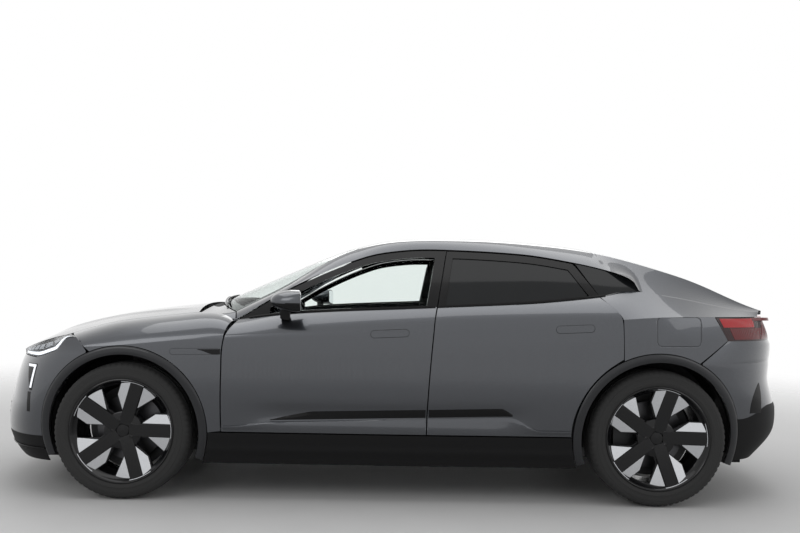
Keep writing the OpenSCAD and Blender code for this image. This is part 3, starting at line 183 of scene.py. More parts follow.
@dataclass
class BodyLines:
    """The vehicle's driving sizes and the lines of its body, in millimetres."""

    length: float = 4840
    width: float = 2008
    height: float = 1534
    tyre_w: float = 265
    rim_r: float = 292
    arch_r: float = 430
    arch_band: float = 46
    door_bottom: float = 388
    sill_z: float = 205
    crease_front: float = 866
    crease_mid: float = 957
    crease_rear: float = 1062
    belt_mid: float = 1100
    cowl_z: float = 1103
    lip_z: float = 1122
    tumble: float = 0.66
    shut: float = 5.0
    gap: float = 7.0
    cut: float = 2.6
    seam: float = 0.4
    door_t: float = 118
    frame_w: float = 42
    frame_t: float = 26
    post_w: float = 62
    glass_t: float = 5
    lid_t: float = 26
    wall_t: float = 62

    def __post_init__(self) -> None:
        """Takes the wheel places from the frame and draws the body's lines."""
        front_low, front_high = (np.array(c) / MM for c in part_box("tyre_front_left"))
        rear_low, rear_high = (np.array(c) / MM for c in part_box("tyre_rear_left"))
        self.hw = self.width / 2
        self.nose_x, self.tail_x = -self.length / 2, self.length / 2
        self.fa = (front_low[0] + front_high[0]) / 2
        self.ra = (rear_low[0] + rear_high[0]) / 2
        self.hub_z = (front_low[2] + front_high[2]) / 2
        self.tyre_r = (front_high[2] - front_low[2]) / 2
        self.wheel_y = -(front_low[1] + front_high[1]) / 2
        self.band_r = self.arch_r + self.arch_band
        self.arch_edge = self.band_r + self.cut + 1.7
        fa, ra, high = self.fa, self.ra, self.height
        self.cowl_x, self.header_x, self.tip_x = fa + 390, fa + 1195, ra - 59
        self.lip_x, self.gate_x = self.tail_x - 125, ra - 294
        self.sail_x, self.hood_back = fa + 800, fa + 310
        nose, tail, mid = self.nose_x, self.tail_x, self.belt_mid
        self.hood_line = Curve((nose + 95, 785), (nose + 190, 848), (nose + 395, 943), (fa - 325, 1003),
                               (fa - 60, 1048), (fa + 310, self.cowl_z - 9), (self.cowl_x, self.cowl_z))
        self.roof_line = Curve((self.cowl_x, self.cowl_z),
                               (self.cowl_x + 400, 0.44 * high + 0.56 * self.cowl_z - 10),
                               (self.header_x, high - 90), (fa + 1495, high - 17), (fa + 1895, high),
                               (ra - 704, high - 13), (ra - 288, high - 56), (ra + 116, high - 150),
                               (ra + 519, high - 297), (self.lip_x, self.lip_z))
        self.crown = Curve((self.header_x, 105), (fa + 1895, 115), (ra - 288, 135), (ra + 116, 146),
                           (ra + 519, 96), (self.lip_x, 34))
        self.roof_edge = Curve((self.header_x, 575), (fa + 1795, 592), (self.gate_x, 585), (ra + 116, 628),
                               (ra + 519, 690), (self.lip_x, 738))
        self.side_in = Curve((fa - 520, 92), (fa - 220, 30), (fa + 150, 14), (fa + 565, 12), (fa + 1495, 0),
                             (ra - 300, 2), (ra, 0), (ra + 250, 22), (ra + 420, 68), (ra + 540, 126),
                             (ra + 620, 192), (ra + 700, 280))
        rear = self.crease_rear
        self.crease_z = Curve((fa - 310, self.crease_front - 20), (fa, self.crease_front),
                              (fa + 565, self.crease_mid - 32), (fa + 1495, self.crease_mid),
                              (ra - 704, rear - 62), (ra - 204, rear - 15), (ra, rear),
                              (ra + 296, rear + 6), (ra + 760, rear + 9))
        self.belt_z = Curve((fa + 610, mid - 88), (fa + 980, mid - 42), (fa + 1761, mid),
                            (ra - 708, mid + 31), (ra - 388, mid + 64), (self.tip_x, mid + 107))
        self.belt_in = Curve((fa + 610, 155), (fa + 980, 128), (fa + 1761, 104), (ra - 708, 112),
                             (ra - 388, 142), (self.tip_x, 200))
        self.light_top = Curve((fa + 610, mid - 86), (fa + 962, high - 309), (fa + 1331, high - 148),
                               (fa + 1560, high - 104), (fa + 1788, high - 96), (ra - 736, high - 118),
                               (ra - 479, high - 156), (ra - 252, high - 205), (ra - 133, high - 250),
                               (self.tip_x, mid + 125))
        self.front_x = Curve((300, fa + 555), (716, fa + 556), (918, fa + 569), (1013, fa + 628),
                             (1060, fa + 646))
        self.mid_x = Curve((300, fa + 1702), (590, fa + 1710), (977, fa + 1739), (1101, fa + 1759),
                           (1440, fa + 1821))
        self.rear_x = Curve((700, ra - 203), (1027, ra - 209), (1074, ra - 224), (1170, ra - 304),
                            (1368, ra - 440))
        self.nose_line = Curve((150, nose + 150), (215, nose + 62), (300, nose + 10), (360, nose),
                               (550, nose + 28), (742, nose + 74), (800, nose + 96))
        self.tail_line = Curve((240, tail - 190), (330, tail - 60), (400, tail - 6), (520, tail),
                               (570, tail - 18), (690, tail - 52), (800, tail - 34), (900, tail - 36),
                               (940, tail - 62), (1040, tail - 112), (1120, tail - 124))
        self.hood_half = Curve((nose + 157, 500), (nose + 320, 655), (nose + 445, 715), (fa - 375, 752),
                               (fa, 748), (fa + 330, 750))
        self.tail_ratio = (ra + 612 - self.tip_x) / (self.lip_x - self.tip_x)

    def side_w(self, x: Array, z: Array) -> Array:
        """Half width of the body side below the shoulder.

        Args:
            x: places along the vehicle.
            z: heights.

        Returns:
            The half widths.
        """
        d = self.crease_z(x) - z
        tuck = np.where(z < 700, 70 * ((700 - z) / 500) ** 2, 0)
        hollow = ease(self.fa + 580, self.fa + 950, x) * (1 - ease(self.ra - 950, self.ra - 620, x))
        hollow = hollow * np.where((z > 400) & (z < 580), 24 * np.sin(np.radians(z - 400)) ** 2, 0)
        edge = np.where(d < 130, 9 * (1 - np.maximum(d, 0) / 130) ** 2, 0)
        return self.hw - self.side_in(x) - edge - tuck - hollow

    def side_p(self, x: Array, z: Array, lift: Array = 0.0) -> Array:
        """Points on the body side, lifted outboard."""
        return at(x, self.side_w(x, z) + lift, z)

    def belt_w(self, x: Array) -> Array:
        """Half width at the belt."""
        return self.hw - self.belt_in(x)

    def glass_w(self, x: Array, z: Array) -> Array:
        """Half width of the side glass."""
        d = z - self.belt_z(x)
        return self.belt_w(x) - self.tumble * d - 0.00012 * d * np.abs(d)

    def top_z(self, x: Array, y: Array) -> Array:
        """Height of the roof and the tailgate top."""
        return self.roof_line(x) - self.crown(x) * (y / 1000) ** 2

    def hood_z(self, x: Array, y: Array) -> Array:
        """Height of the hood."""
        return self.hood_line(x) - mix(80, 52, ease(self.fa - 450, self.fa - 50, x)) * (y / 740) ** 2

    def crease_p(self, x: Array) -> Array:
        """Points on the shoulder line."""
        z = self.crease_z(x)
        return at(x, self.side_w(x, z), z)

    def shoulder(self, x: Array, t: Array) -> Array:
        """Points from the shoulder line up to the belt.

        Args:
            x: places along the vehicle.
            t: share of the way up, 0 to 1.

        Returns:
            The points.
        """
        c, b = self.crease_p(x), at(x, self.belt_w(x), self.belt_z(x))
        k = np.stack([np.broadcast_to(x, c[..., 0].shape), mix(c[..., 1], b[..., 1], 0.28),
                      mix(c[..., 2], b[..., 2], 0.62)], -1)
        return bow(c, k, b, np.asarray(t, float)[..., None])

    def edge_p(self, x: Array) -> Array:
        """Points on the edge of the roof and the tailgate top."""
        w = self.roof_edge(x)
        return at(x - GATE_BOW * w * w * ease(self.ra + 200, self.lip_x, x), w, self.top_z(x, w))

    def tail_xc(self, x: Array) -> Array:
        """Place on the shoulder line that belongs to a place on the tail's upper line."""
        return np.where(x < self.tip_x, x, self.tip_x + (x - self.tip_x) * self.tail_ratio)

    def tail_xe(self, x: Array) -> Array:
        """Place on the tail's upper line that belongs to a place on the shoulder line."""
        return np.where(x < self.tip_x, x, self.tip_x + (x - self.tip_x) / self.tail_ratio)

    def hip(self, x: Array, t: Array) -> Array:
        """Points from the shoulder line up to the roof edge behind the window tip.

        Args:
            x: places along the vehicle.
            t: share of the way up, 0 to 1.

        Returns:
            The points.
        """
        x = np.asarray(x, float)
        e = self.edge_p(x)
        w = mix(self.belt_w(self.tip_x) - 32, self.hw - 235, ease(self.tip_x, self.lip_x, x))
        z = mix(self.belt_z(self.tip_x) + 20, self.lip_z - 12, ease(self.tip_x - 150, self.lip_x - 60, x))
        k = at((self.tail_xc(x) + e[..., 0]) / 2, w, z)
        return bow(self.crease_p(self.tail_xc(x)), k, e, np.asarray(t, float)[..., None])

    def quarter_top(self, x: Array, t: Array) -> Array:
        """Upper part of the quarter wall: the belt in front of the window tip, then the tail's line.

        Args:
            x: places along the vehicle.
            t: share of the way up, 0 to 1.

        Returns:
            The points.
        """
        x, t = np.broadcast_arrays(np.asarray(x, float), np.asarray(t, float))
        q = ease(self.tip_x - 260, self.tip_x, x)[..., None]
        return mix(self.shoulder(x, t), self.hip(x, t * HIP_PART), q)

    def screen_p(self, u: Array, v: Array) -> Array:
        """Points on the windscreen, u across and v up.

        Args:
            u: place across, -1 to 1.
            v: place up, 0 to 1.

        Returns:
            The points.
        """
        x, s = mix(self.cowl_x, self.header_x, v), mix(205, 95, v)
        y = u * mix(765, 575, v)
        z = mix(self.roof_line(x) - 48 * u * u, self.top_z(x + s * u * u, y), ease(0.3, 1, v))
        return np.stack([x + s * u * u, y, z], -1)

    def rail_low(self, x: Array) -> Array:
        """Points on the lower edge of the roof rail.

        Args:
            x: places along the vehicle.

        Returns:
            The points.
        """
        x = np.asarray(x, float)
        z = self.light_top(x)
        top = self.quarter_top(x, np.ones_like(x))
        w = mix(self.glass_w(x, z), -top[..., 1], ease(self.tip_x - 200, self.tip_x, x))
        ahead = at(x, w, mix(z, top[..., 2], ease(self.tip_x - 40, self.tip_x, x)))
        return np.where((x < self.tip_x)[..., None], ahead, top)

    def hood_side(self, x: Array) -> Array:
        """Points on the fender's edge beside the hood."""
        w = self.hood_half(x) + self.gap
        return at(x, w, self.hood_z(x, w))

    def rear_door_end(self, z: Array) -> Array:
        """Rear edge of the rear door: round the arch, then up the cut.

        Args:
            z: heights.

        Returns:
            The places along the vehicle.
        """
        r = self.band_r + self.gap / 2 + 6
        over = math.sqrt(r ** 2 - 203 ** 2)
        low = self.ra - np.sqrt(np.maximum(r ** 2 - (z - self.hub_z) ** 2, 0))
        return np.where(z < self.hub_z + over, low, self.rear_x(z))

    def nose_p(self, t: Array, z: Array) -> Array:
        """Points on the nose: t runs from the wheel arch to the middle.

        Args:
            t: share of the way to the middle.
            z: heights.

        Returns:
            The points.
        """
        a = self.fa - np.sqrt(self.arch_edge ** 2 - (np.minimum(z, 820) - self.hub_z) ** 2)
        s = np.where(z < 820, a, mix(a, self.fa - 262, (z - 820) / 85))
        n, w = self.nose_line(z), self.side_w(s, z)
        g = (self.side_w(s + 10, z) - self.side_w(s - 10, z)) / 20
        reach = 0.5 * (s - n)
        return at(bow3(s, s - reach, n + 12, n, t), bow3(w, w - g * reach, 0.62 * w, 0, t), z)

    def nose_top(self, t: Array) -> Array:
        """Upper edge of the front bumper."""
        return 902 - 127 * ease(0.03, 0.34, t)

    def tail_p(self, t: Array, z: Array) -> Array:
        """Points on the tail: t runs from the rear arch to the middle.

        Args:
            t: share of the way to the middle.
            z: heights.

        Returns:
            The points.
        """
        a = self.ra + np.sqrt(self.arch_edge ** 2 - (np.minimum(z, 804) - self.hub_z) ** 2)
        s = np.where(z < 804, a, mix(a, self.ra + 392, np.minimum((z - 804) / 130, 1)))
        n, w = self.tail_line(z), self.side_w(s, z)
        g = (self.side_w(s + 10, z) - self.side_w(s - 10, z)) / 20
        reach = 0.6 * (n - s)
        return at(bow3(s, s + reach, n - 16, n, t), bow3(w, w + g * reach * 0.7, 0.72 * w, 0, t), z)

    def tail_top(self, t: Array) -> Array:
        """Upper edge of the rear bumper."""
        return 934 - (934 - GATE_LOW_Z + self.gap) * ease(0.60, 0.66, t)


HIP_PART = 0.45
GATE_LOW_Z = 800.0
QUARTER_COLS = 11
STRIP_COLS = 6
RAIL_COLS = 31
LINES = BodyLines()


class Texture(Enum):
    """Kinds of surface detail that a finish may carry."""

    FLAKES = "flakes"
    GRAIN = "grain"
    WEAVE = "weave"
    HIDE = "hide"
    BRUSHED = "brushed"
    CAST = "cast"
    SMEAR = "smear"


@dataclass(frozen=True)
class Finish:
    """A finish: its tone, gloss and fine surface detail."""

    name: str
    tone: tuple[float, float, float]
    shade: tuple[float, float, float]
    texture: Texture
    scale: float
    roughness: float = 0.4
    metallic: float = 0.0
    coat: float = 0.0
    bump: float = 0.1
    depth: float = 0.0003
    spread: float = 0.08
    transmission: float = 0.0
    ior: float = 1.5
    glow: float = 0.0
    sheen: float = 0.0
    specular: float = 0.5

    def material(self) -> bpy.types.Material:
        """The finish as a material, made once.

        Returns:
            The node material.
        """
        found = bpy.data.materials.get(self.name)
        if found:
            return found
        mat = bpy.data.materials.new(self.name)
        mat.use_nodes = True
        tree = mat.node_tree
        shader = tree.nodes["Principled BSDF"]
        shader.inputs["Metallic"].default_value = self.metallic
        shader.inputs["IOR"].default_value = self.ior
        shader.inputs["Coat Weight"].default_value = self.coat
        shader.inputs["Coat Roughness"].default_value = 0.03
        shader.inputs["Specular IOR Level"].default_value = self.specular
        shader.inputs["Transmission Weight"].default_value = self.transmission
        shader.inputs["Sheen Weight"].default_value = self.sheen
        if self.glow:
            shader.inputs["Emission Color"].default_value = (*self.tone, 1)
            shader.inputs["Emission Strength"].default_value = self.glow
        fac = self._pattern(tree)
        self._tone(tree, fac, shader)
        self._gloss(tree, fac, shader)
        if self.bump:
            bump = tree.nodes.new("ShaderNodeBump")
            bump.inputs["Strength"].default_value = self.bump
            bump.inputs["Distance"].default_value = self.depth
            tree.links.new(fac, bump.inputs["Height"])
            tree.links.new(bump.outputs["Normal"], shader.inputs["Normal"])
        return mat

    def _pattern(self, tree: bpy.types.NodeTree) -> bpy.types.NodeSocket:
        """The socket that carries the finish's pattern, from 0 to 1.

        Args:
            tree: the material's node tree.

        Returns:
            The socket.
        """
        place = tree.nodes.new("ShaderNodeTexCoord").outputs["Object"]
        mapping = tree.nodes.new("ShaderNodeMapping")
        tree.links.new(place, mapping.inputs["Vector"])
        stretch = (0.03, 1, 1) if self.texture is Texture.BRUSHED else (1, 1, 1)
        mapping.inputs["Scale"].default_value = stretch
        vector = mapping.outputs["Vector"]
        if self.texture in (Texture.FLAKES, Texture.HIDE):
            node = tree.nodes.new("ShaderNodeTexVoronoi")
            node.inputs["Scale"].default_value = self.scale
            tree.links.new(vector, node.inputs["Vector"])
            return node.outputs["Color" if self.texture is Texture.FLAKES else "Distance"]
        if self.texture is Texture.WEAVE:
            waves = []
            for direction in ("X", "Z"):
                wave = tree.nodes.new("ShaderNodeTexWave")
                wave.bands_direction = direction
                wave.inputs["Scale"].default_value = self.scale
                wave.inputs["Distortion"].default_value = 0.6
                tree.links.new(vector, wave.inputs["Vector"])
                waves.append(wave.outputs["Fac"])
            both = tree.nodes.new("ShaderNodeMath")
            both.operation = "MULTIPLY"
            tree.links.new(waves[0], both.inputs[0])
            tree.links.new(waves[1], both.inputs[1])
            return both.outputs[0]
        node = tree.nodes.new("ShaderNodeTexNoise")
        node.inputs["Scale"].default_value = self.scale
        node.inputs["Detail"].default_value = 3.0
        tree.links.new(vector, node.inputs["Vector"])
        return node.outputs["Fac"]

    def _tone(self, tree: bpy.types.NodeTree, fac: bpy.types.NodeSocket, shader: bpy.types.Node) -> None:
        """Blends the two tones by the pattern into the base colour.

        Args:
            tree: the material's node tree.
            fac: the socket that carries the pattern.
            shader: the shader that takes the colour.
        """
        blend = tree.nodes.new("ShaderNodeMix")
        blend.data_type = "RGBA"
        blend.inputs[6].default_value = (*self.tone, 1)
        blend.inputs[7].default_value = (*self.shade, 1)
        tree.links.new(fac, blend.inputs[0])
        tree.links.new(blend.outputs[2], shader.inputs["Base Color"])

    def _gloss(self, tree: bpy.types.NodeTree, fac: bpy.types.NodeSocket, shader: bpy.types.Node) -> None:
        """Spreads the roughness a little by the pattern.

        Args:
            tree: the material's node tree.
            fac: the socket that carries the pattern.
            shader: the shader that takes the roughness.
        """
        span = tree.nodes.new("ShaderNodeMapRange")
        span.inputs["To Min"].default_value = max(self.roughness - self.spread / 2, 0.0)
        span.inputs["To Max"].default_value = self.roughness + self.spread / 2
        tree.links.new(fac, span.inputs["Value"])
        tree.links.new(span.outputs["Result"], shader.inputs["Roughness"])


PAINT = Finish("grey_metallic_paint", (0.045, 0.048, 0.056), (0.070, 0.075, 0.084), Texture.FLAKES, 2600,
               0.28, 0.85, 1.0, 0.05, 0.0001, 0.06)
# Body-coloured arch bands drawn in a much darker, less glossy copy of the body paint: painted shade from
# the wheel arches.
SHADED_ARCH_PAINT = Finish("dark_arch_paint", (0.010, 0.011, 0.013), (0.018, 0.019, 0.022), Texture.FLAKES, 2600,
                    0.34, 0.2, 0.35, 0.05, 0.0001, 0.06, specular=0.3)
GLOSS_BLACK = Finish("gloss_black_trim", (0.003, 0.003, 0.0035), (0.006, 0.006, 0.0065), Texture.SMEAR, 30,
                     0.14, 0.0, 0.1, 0.01, 0.0002, 0.05, specular=0.15)
BLACK_PLASTIC = Finish("black_grained_plastic", (0.006, 0.006, 0.0065), (0.013, 0.013, 0.0135),
                       Texture.GRAIN, 900, 0.55, 0.0, 0.0, 0.25, 0.0004, 0.12, specular=0.12)
DARK_GLASS = Finish("dark_privacy_glass", (0.008, 0.009, 0.010), (0.012, 0.013, 0.014), Texture.SMEAR, 6,
                    0.04, 0.0, 0.0, 0.0, 0.0001, 0.03, specular=0.2)
TINT_GLASS = Finish("green_tinted_glass", (0.88, 0.92, 0.905), (0.86, 0.90, 0.885), Texture.SMEAR, 6,
                    0.02, 0.0, 0.0, 0.0, 0.0001, 0.02, 1.0, 1.05)
LENS = Finish("clear_lamp_lens", (0.94, 0.95, 0.96), (0.90, 0.92, 0.94), Texture.SMEAR, 8,
              0.02, 0.0, 0.0, 0.0, 0.0001, 0.02, 1.0, 1.06)
LED = Finish("white_light_guide", (0.93, 0.95, 1.0), (0.88, 0.91, 0.97), Texture.GRAIN, 400,
             0.30, 0.0, 0.3, 0.1, 0.0002, 0.1, 0.0, 1.5, 0.55)
REFLECTOR = Finish("bright_lamp_reflector", (0.24, 0.25, 0.27), (0.17, 0.18, 0.20), Texture.BRUSHED, 120,
                   0.20, 0.9, 0.3, 0.05, 0.0002, 0.1)
RED_LENS = Finish("ribbed_red_lens", (0.17, 0.003, 0.006), (0.10, 0.002, 0.004), Texture.GRAIN, 240,
                  0.12, 0.0, 0.35, 0.08, 0.0002, 0.06, specular=0.35)
RED_GLOW = Finish("bright_red_light_guide", (0.42, 0.008, 0.012), (0.30, 0.006, 0.009), Texture.GRAIN, 300,
                  0.16, 0.0, 0.35, 0.05, 0.0002, 0.06, glow=0.16, specular=0.35)
SMOKED = Finish("smoked_lamp_body", (0.030, 0.003, 0.004), (0.018, 0.002, 0.003), Texture.GRAIN, 300,
                0.16, 0.0, 0.3, 0.05, 0.0002, 0.08, specular=0.35)
ALLOY = Finish("machined_alloy_face", (0.60, 0.61, 0.63), (0.48, 0.49, 0.51), Texture.BRUSHED, 700,
               0.24, 1.0, 0.4, 0.12, 0.0002, 0.12)
BLACK_ALLOY = Finish("black_alloy_paint", (0.004, 0.004, 0.0045), (0.009, 0.009, 0.010), Texture.FLAKES,
                     1800, 0.22, 0.1, 0.25, 0.04, 0.0001, 0.06, specular=0.2)
RUBBER = Finish("tyre_rubber", (0.006, 0.006, 0.006), (0.014, 0.014, 0.014), Texture.GRAIN, 420,
                0.74, 0.0, 0.0, 0.35, 0.0005, 0.16, specular=0.07)
DISC = Finish("turned_brake_steel", (0.11, 0.11, 0.115), (0.07, 0.07, 0.075), Texture.BRUSHED, 500,
              0.36, 1.0, 0.0, 0.2, 0.0003, 0.16)
STEEL = Finish("coated_chassis_steel", (0.030, 0.031, 0.033), (0.050, 0.051, 0.053), Texture.CAST, 160,
               0.50, 0.4, 0.0, 0.25, 0.0006, 0.14)
CAST = Finish("cast_aluminium", (0.34, 0.35, 0.36), (0.26, 0.27, 0.28), Texture.CAST, 260,
              0.46, 0.9, 0.0, 0.3, 0.0006, 0.16)
PACK = Finish("pressed_pack_aluminium", (0.20, 0.205, 0.21), (0.15, 0.155, 0.16), Texture.BRUSHED, 90,
              0.42, 0.9, 0.0, 0.15, 0.0004, 0.14)
TRIM = Finish("soft_cabin_trim", (0.030, 0.030, 0.032), (0.045, 0.045, 0.047), Texture.HIDE, 420,
              0.60, 0.0, 0.0, 0.3, 0.0005, 0.12)
CARPET = Finish("floor_carpet", (0.016, 0.016, 0.017), (0.034, 0.034, 0.036), Texture.GRAIN, 700,
                0.92, 0.0, 0.0, 0.8, 0.0015, 0.08, 0.0, 1.5, 0.0, 0.3)
LINING = Finish("headliner_cloth", (0.20, 0.20, 0.20), (0.26, 0.26, 0.255), Texture.WEAVE, 320,
                0.88, 0.0, 0.0, 0.4, 0.0006, 0.08, 0.0, 1.5, 0.0, 0.3)
SEAT_HIDE = Finish("seat_leather", (0.040, 0.041, 0.044), (0.064, 0.065, 0.068), Texture.HIDE, 330,
                   0.50, 0.0, 0.0, 0.35, 0.0006, 0.12)
SEAT_CLOTH = Finish("seat_woven_cloth", (0.050, 0.051, 0.055), (0.090, 0.091, 0.096), Texture.WEAVE, 260,
                    0.85, 0.0, 0.0, 0.5, 0.0008, 0.1, 0.0, 1.5, 0.0, 0.4)
SCREEN = Finish("display_glass", (0.010, 0.012, 0.016), (0.016, 0.020, 0.026), Texture.SMEAR, 14,
                0.06, 0.0, 0.5, 0.0, 0.0001, 0.04)
MIRROR = Finish("mirror_silver", (0.80, 0.82, 0.84), (0.76, 0.78, 0.80), Texture.SMEAR, 5,
                0.02, 1.0, 0.0, 0.0, 0.0001, 0.02)
FLOOR = Finish("pale_studio_floor", (0.58, 0.58, 0.58), (0.62, 0.62, 0.62), Texture.GRAIN, 3,
               0.60, 0.0, 0.0, 0.02, 0.0005, 0.1)


class Maker:
    """Makes meshes in metres from points in millimetres."""

    SHARP = math.radians(36)

    @classmethod
    def mesh(cls, name: str, points: Array, faces: Sequence[Sequence[int]], finishes: Sequence[Finish],
             kinds: Optional[Sequence[int]] = None, bevel: float = 0.0) -> Piece:
        """One smooth-shaded piece.

        Args:
            name: the piece's name.
            points: corner points in millimetres.
            faces: corner numbers of each face.
            finishes: the piece's finishes, in the order that kinds counts them.
            kinds: which finish each face takes.
            bevel: width of the rounded edges, in millimetres.

        Returns:
            The new object.
        """
        data = bpy.data.meshes.new(name)
        data.from_pydata((np.asarray(points, float) * MM).tolist(), [], [list(map(int, f)) for f in faces])
        for finish in finishes:
            data.materials.append(finish.material())
        if kinds is not None:
            data.polygons.foreach_set("material_index", np.asarray(kinds, np.int32))
        data.validate()
        data.shade_smooth()
        data.set_sharp_from_angle(angle=cls.SHARP)
        obj = bpy.data.objects.new(name, data)
        bpy.context.scene.collection.objects.link(obj)
        if bevel:
            cls.round_edges(obj, bevel)
        return obj

    @staticmethod
    def round_edges(obj: Piece, width: float) -> None:
        """Rounds a piece's sharp edges by a width in millimetres.

        Args:
            obj: the piece.
            width: width in millimetres.
        """
        mod = obj.modifiers.new("rounded", "BEVEL")
        mod.width, mod.segments = width * MM, 2
        mod.limit_method, mod.angle_limit = "ANGLE", math.radians(48)

    @staticmethod
    def quads(rows: int, cols: int, base: int = 0, loop: bool = False) -> list[tuple[int, int, int, int]]:
        """Faces of a grid of points, closed round its columns if loop is set.

        Args:
            rows: rows of points.
            cols: points in a row.
            base: number of the first point.
            loop: whether the last column meets the first.

        Returns:
            The faces as point numbers.
        """
        out = []
        for j in range(rows - 1):
            for i in range(cols if loop else cols - 1):
                k = (i + 1) % cols
                a, b = base + j * cols + i, base + j * cols + k
                out.append((a, b, b + cols, a + cols))
        return out

    @classmethod
    def shell(cls, name: str, outer: Array, inner: Array, finishes: Sequence[Finish],
              bevel: float = 1.2) -> Piece:
        """A closed panel between two grids.

        Args:
            name: the piece's name.
            outer: grid of the face that shows.
            inner: grid of the far face.
            finishes: the finish of the face and rim, and of the far face if it has its own.
            bevel: width of the rounded rim, in millimetres.

        Returns:
            The new object.
        """
        points, faces, kinds = cls.shell_parts(outer, inner, len(finishes) > 1)
        return cls.mesh(name, points, faces, finishes, kinds, bevel)

    @classmethod
    def panel(cls, name: str, side: Side, outer: Array, inner: Array, finishes: Sequence[Finish],
              bevel: float = 1.2) -> Piece:
        """A shell between two left-hand grids, built on one side."""
        return cls.shell(name, side.turn(outer), side.turn(inner), finishes, bevel)

    @classmethod
    def shell_parts(cls, outer: Array, inner: Array, two: bool) -> tuple[Array, list, list]:
        """Points, faces and finish numbers of a closed panel between two grids.

        Args:
            outer: grid of the outer face.
            inner: grid of the inner face.
            two: whether the back has a finish of its own.

        Returns:
            Points, faces and finish numbers.
        """
        rows, cols = outer.shape[:2]
        count = rows * cols
        points = np.concatenate([outer.reshape(-1, 3), inner.reshape(-1, 3)])
        face = cls.quads(rows, cols)
        back = [(a + count, d + count, c + count, b + count) for a, b, c, d in face]
        ring = list(range(cols)) + [j * cols + cols - 1 for j in range(1, rows)]
        ring += [(rows - 1) * cols + i for i in range(cols - 2, -1, -1)]
        ring += [j * cols for j in range(rows - 2, 0, -1)]
        rim = [(a, a + count, b + count, b) for a, b in zip(ring, ring[1:] + ring[:1])]
        j, i = rows // 2 - (rows == 2), cols // 2 - (cols == 2)
        du = outer[j, min(i + 1, cols - 1)] - outer[j, i]
        dv = outer[min(j + 1, rows - 1), i] - outer[j, i]
        faces = face + back + rim
        if np.dot(np.cross(du, dv), outer[j, i] - inner[j, i]) < 0:
            faces = [f[::-1] for f in faces]
        kinds = [0] * len(face) + [1 if two else 0] * len(back) + [0] * len(rim)
        return points, faces, kinds

    @classmethod
    def loft(cls, name: str, rings: Array, finishes: Sequence[Finish],
             kinds: Optional[Sequence[int]] = None, bevel: float = 0.0, capped: bool = True) -> Piece:
        """A closed body through rings of points.

        Args:
            name: the piece's name.
            rings: points shaped (rings, points on a ring, 3).
            finishes: the piece's finishes.
            kinds: the finish of each quad, if there are several.
            bevel: width of the rounded edges.
            capped: whether the two ends are closed.

        Returns:
            The new object.
        """
        rows, cols = rings.shape[:2]
        faces = cls.quads(rows, cols, loop=True)
        numbers = list(kinds) if kinds is not None else [0] * len(faces)
        if capped:
            faces = faces + [tuple(range(cols))[::-1], tuple((rows - 1) * cols + i for i in range(cols))]
            numbers += [0, 0]
        points = rings.reshape(-1, 3)
        if cls.volume(points, faces) < 0:
            faces = [f[::-1] for f in faces]
        return cls.mesh(name, points, faces, finishes, numbers, bevel)

    @staticmethod
    def volume(points: Array, faces: Sequence[Sequence[int]]) -> float:
        """Signed volume that faces enclose.

        Args:
            points: corner points.
            faces: faces as point numbers.

        Returns:
            The volume, negative where the faces point inward.
        """
        total = 0.0
        middle = points.mean(axis=0)
        for f in faces:
            p = points[list(f)] - middle
            for a, b in zip(p[1:-1], p[2:]):
                total += float(np.dot(p[0], np.cross(a, b)))
        return total / 6

    @classmethod
    def tube(cls, name: str, path: Array, across: float, high: float, finishes: Sequence[Finish],
             around: int = 12, up: Sequence[float] = (0, 0, 1)) -> Piece:
        """A rounded strip along a path.

        Args:
            name: the piece's name.
            path: points of its middle line.
            across: its width in millimetres.
            high: its height in millimetres.
            finishes: its finishes.
            around: points round its section.
            up: the direction its height stands in.

        Returns:
            The new object.
        """
        run = np.gradient(path, axis=0)
        run /= np.linalg.norm(run, axis=1)[:, None]
        wide = np.cross(run, np.asarray(up, float))
        wide /= np.maximum(np.linalg.norm(wide, axis=1)[:, None], 1e-9)
        tall = np.cross(wide, run)
        a = np.linspace(0, 2 * math.pi, around, endpoint=False)
        c = np.sign(np.cos(a)) * np.abs(np.cos(a)) ** 0.6 * across / 2
        s = np.sign(np.sin(a)) * np.abs(np.sin(a)) ** 0.6 * high / 2
        rings = path[:, None] + wide[:, None] * c[None, :, None] + tall[:, None] * s[None, :, None]
        return cls.loft(name, rings, finishes)

    @classmethod
    def box(cls, name: str, low: Sequence[float], high: Sequence[float], finishes: Sequence[Finish],
            bevel: float = 2.0) -> Piece:
        """A block with rounded edges between two corners.

        Args:
            name: the piece's name.
            low: lower corner.
            high: upper corner.
            finishes: its finishes.
            bevel: width of its rounded edges.

        Returns:
            The new object.
        """
        (a, b, c), (d, e, f) = low, high
        ring = np.array([[a, b], [d, b], [d, e], [a, e]])
        rings = np.array([[[x, y, z] for x, y in ring] for z in (c, f)])
        return cls.loft(name, rings, finishes, bevel=bevel)

    @staticmethod
    def join(name: str, pieces: Sequence[Piece]) -> Piece:
        """Several pieces as one, with their rounded edges kept as they show.

        Args:
            name: the piece's name.
            pieces: the pieces.

        Returns:
            The joined piece.
        """
        graph = bpy.context.evaluated_depsgraph_get()
        for piece in pieces:
            if piece.modifiers:
                shown = bpy.data.meshes.new_from_object(piece.evaluated_get(graph))
                piece.modifiers.clear()
                piece.data = shown
        with bpy.context.temp_override(active_object=pieces[0], selected_editable_objects=list(pieces)):
            bpy.ops.object.join()
        pieces[0].name = pieces[0].data.name = name
        return pieces[0]

    @staticmethod
    def carve(obj: Piece, cutter: Piece) -> None:
        """Cuts one piece out of another and takes the cutter away.

        Args:
            obj: the piece that is cut.
            cutter: the piece that cuts.
        """
        mod = obj.modifiers.new("opening", "BOOLEAN")
        mod.operation, mod.solver, mod.object = "DIFFERENCE", "EXACT", cutter
        graph = bpy.context.evaluated_depsgraph_get()
        shown = bpy.data.meshes.new_from_object(obj.evaluated_get(graph))
        obj.modifiers.clear()
        obj.data = shown
        bpy.data.objects.remove(cutter, do_unlink=True)


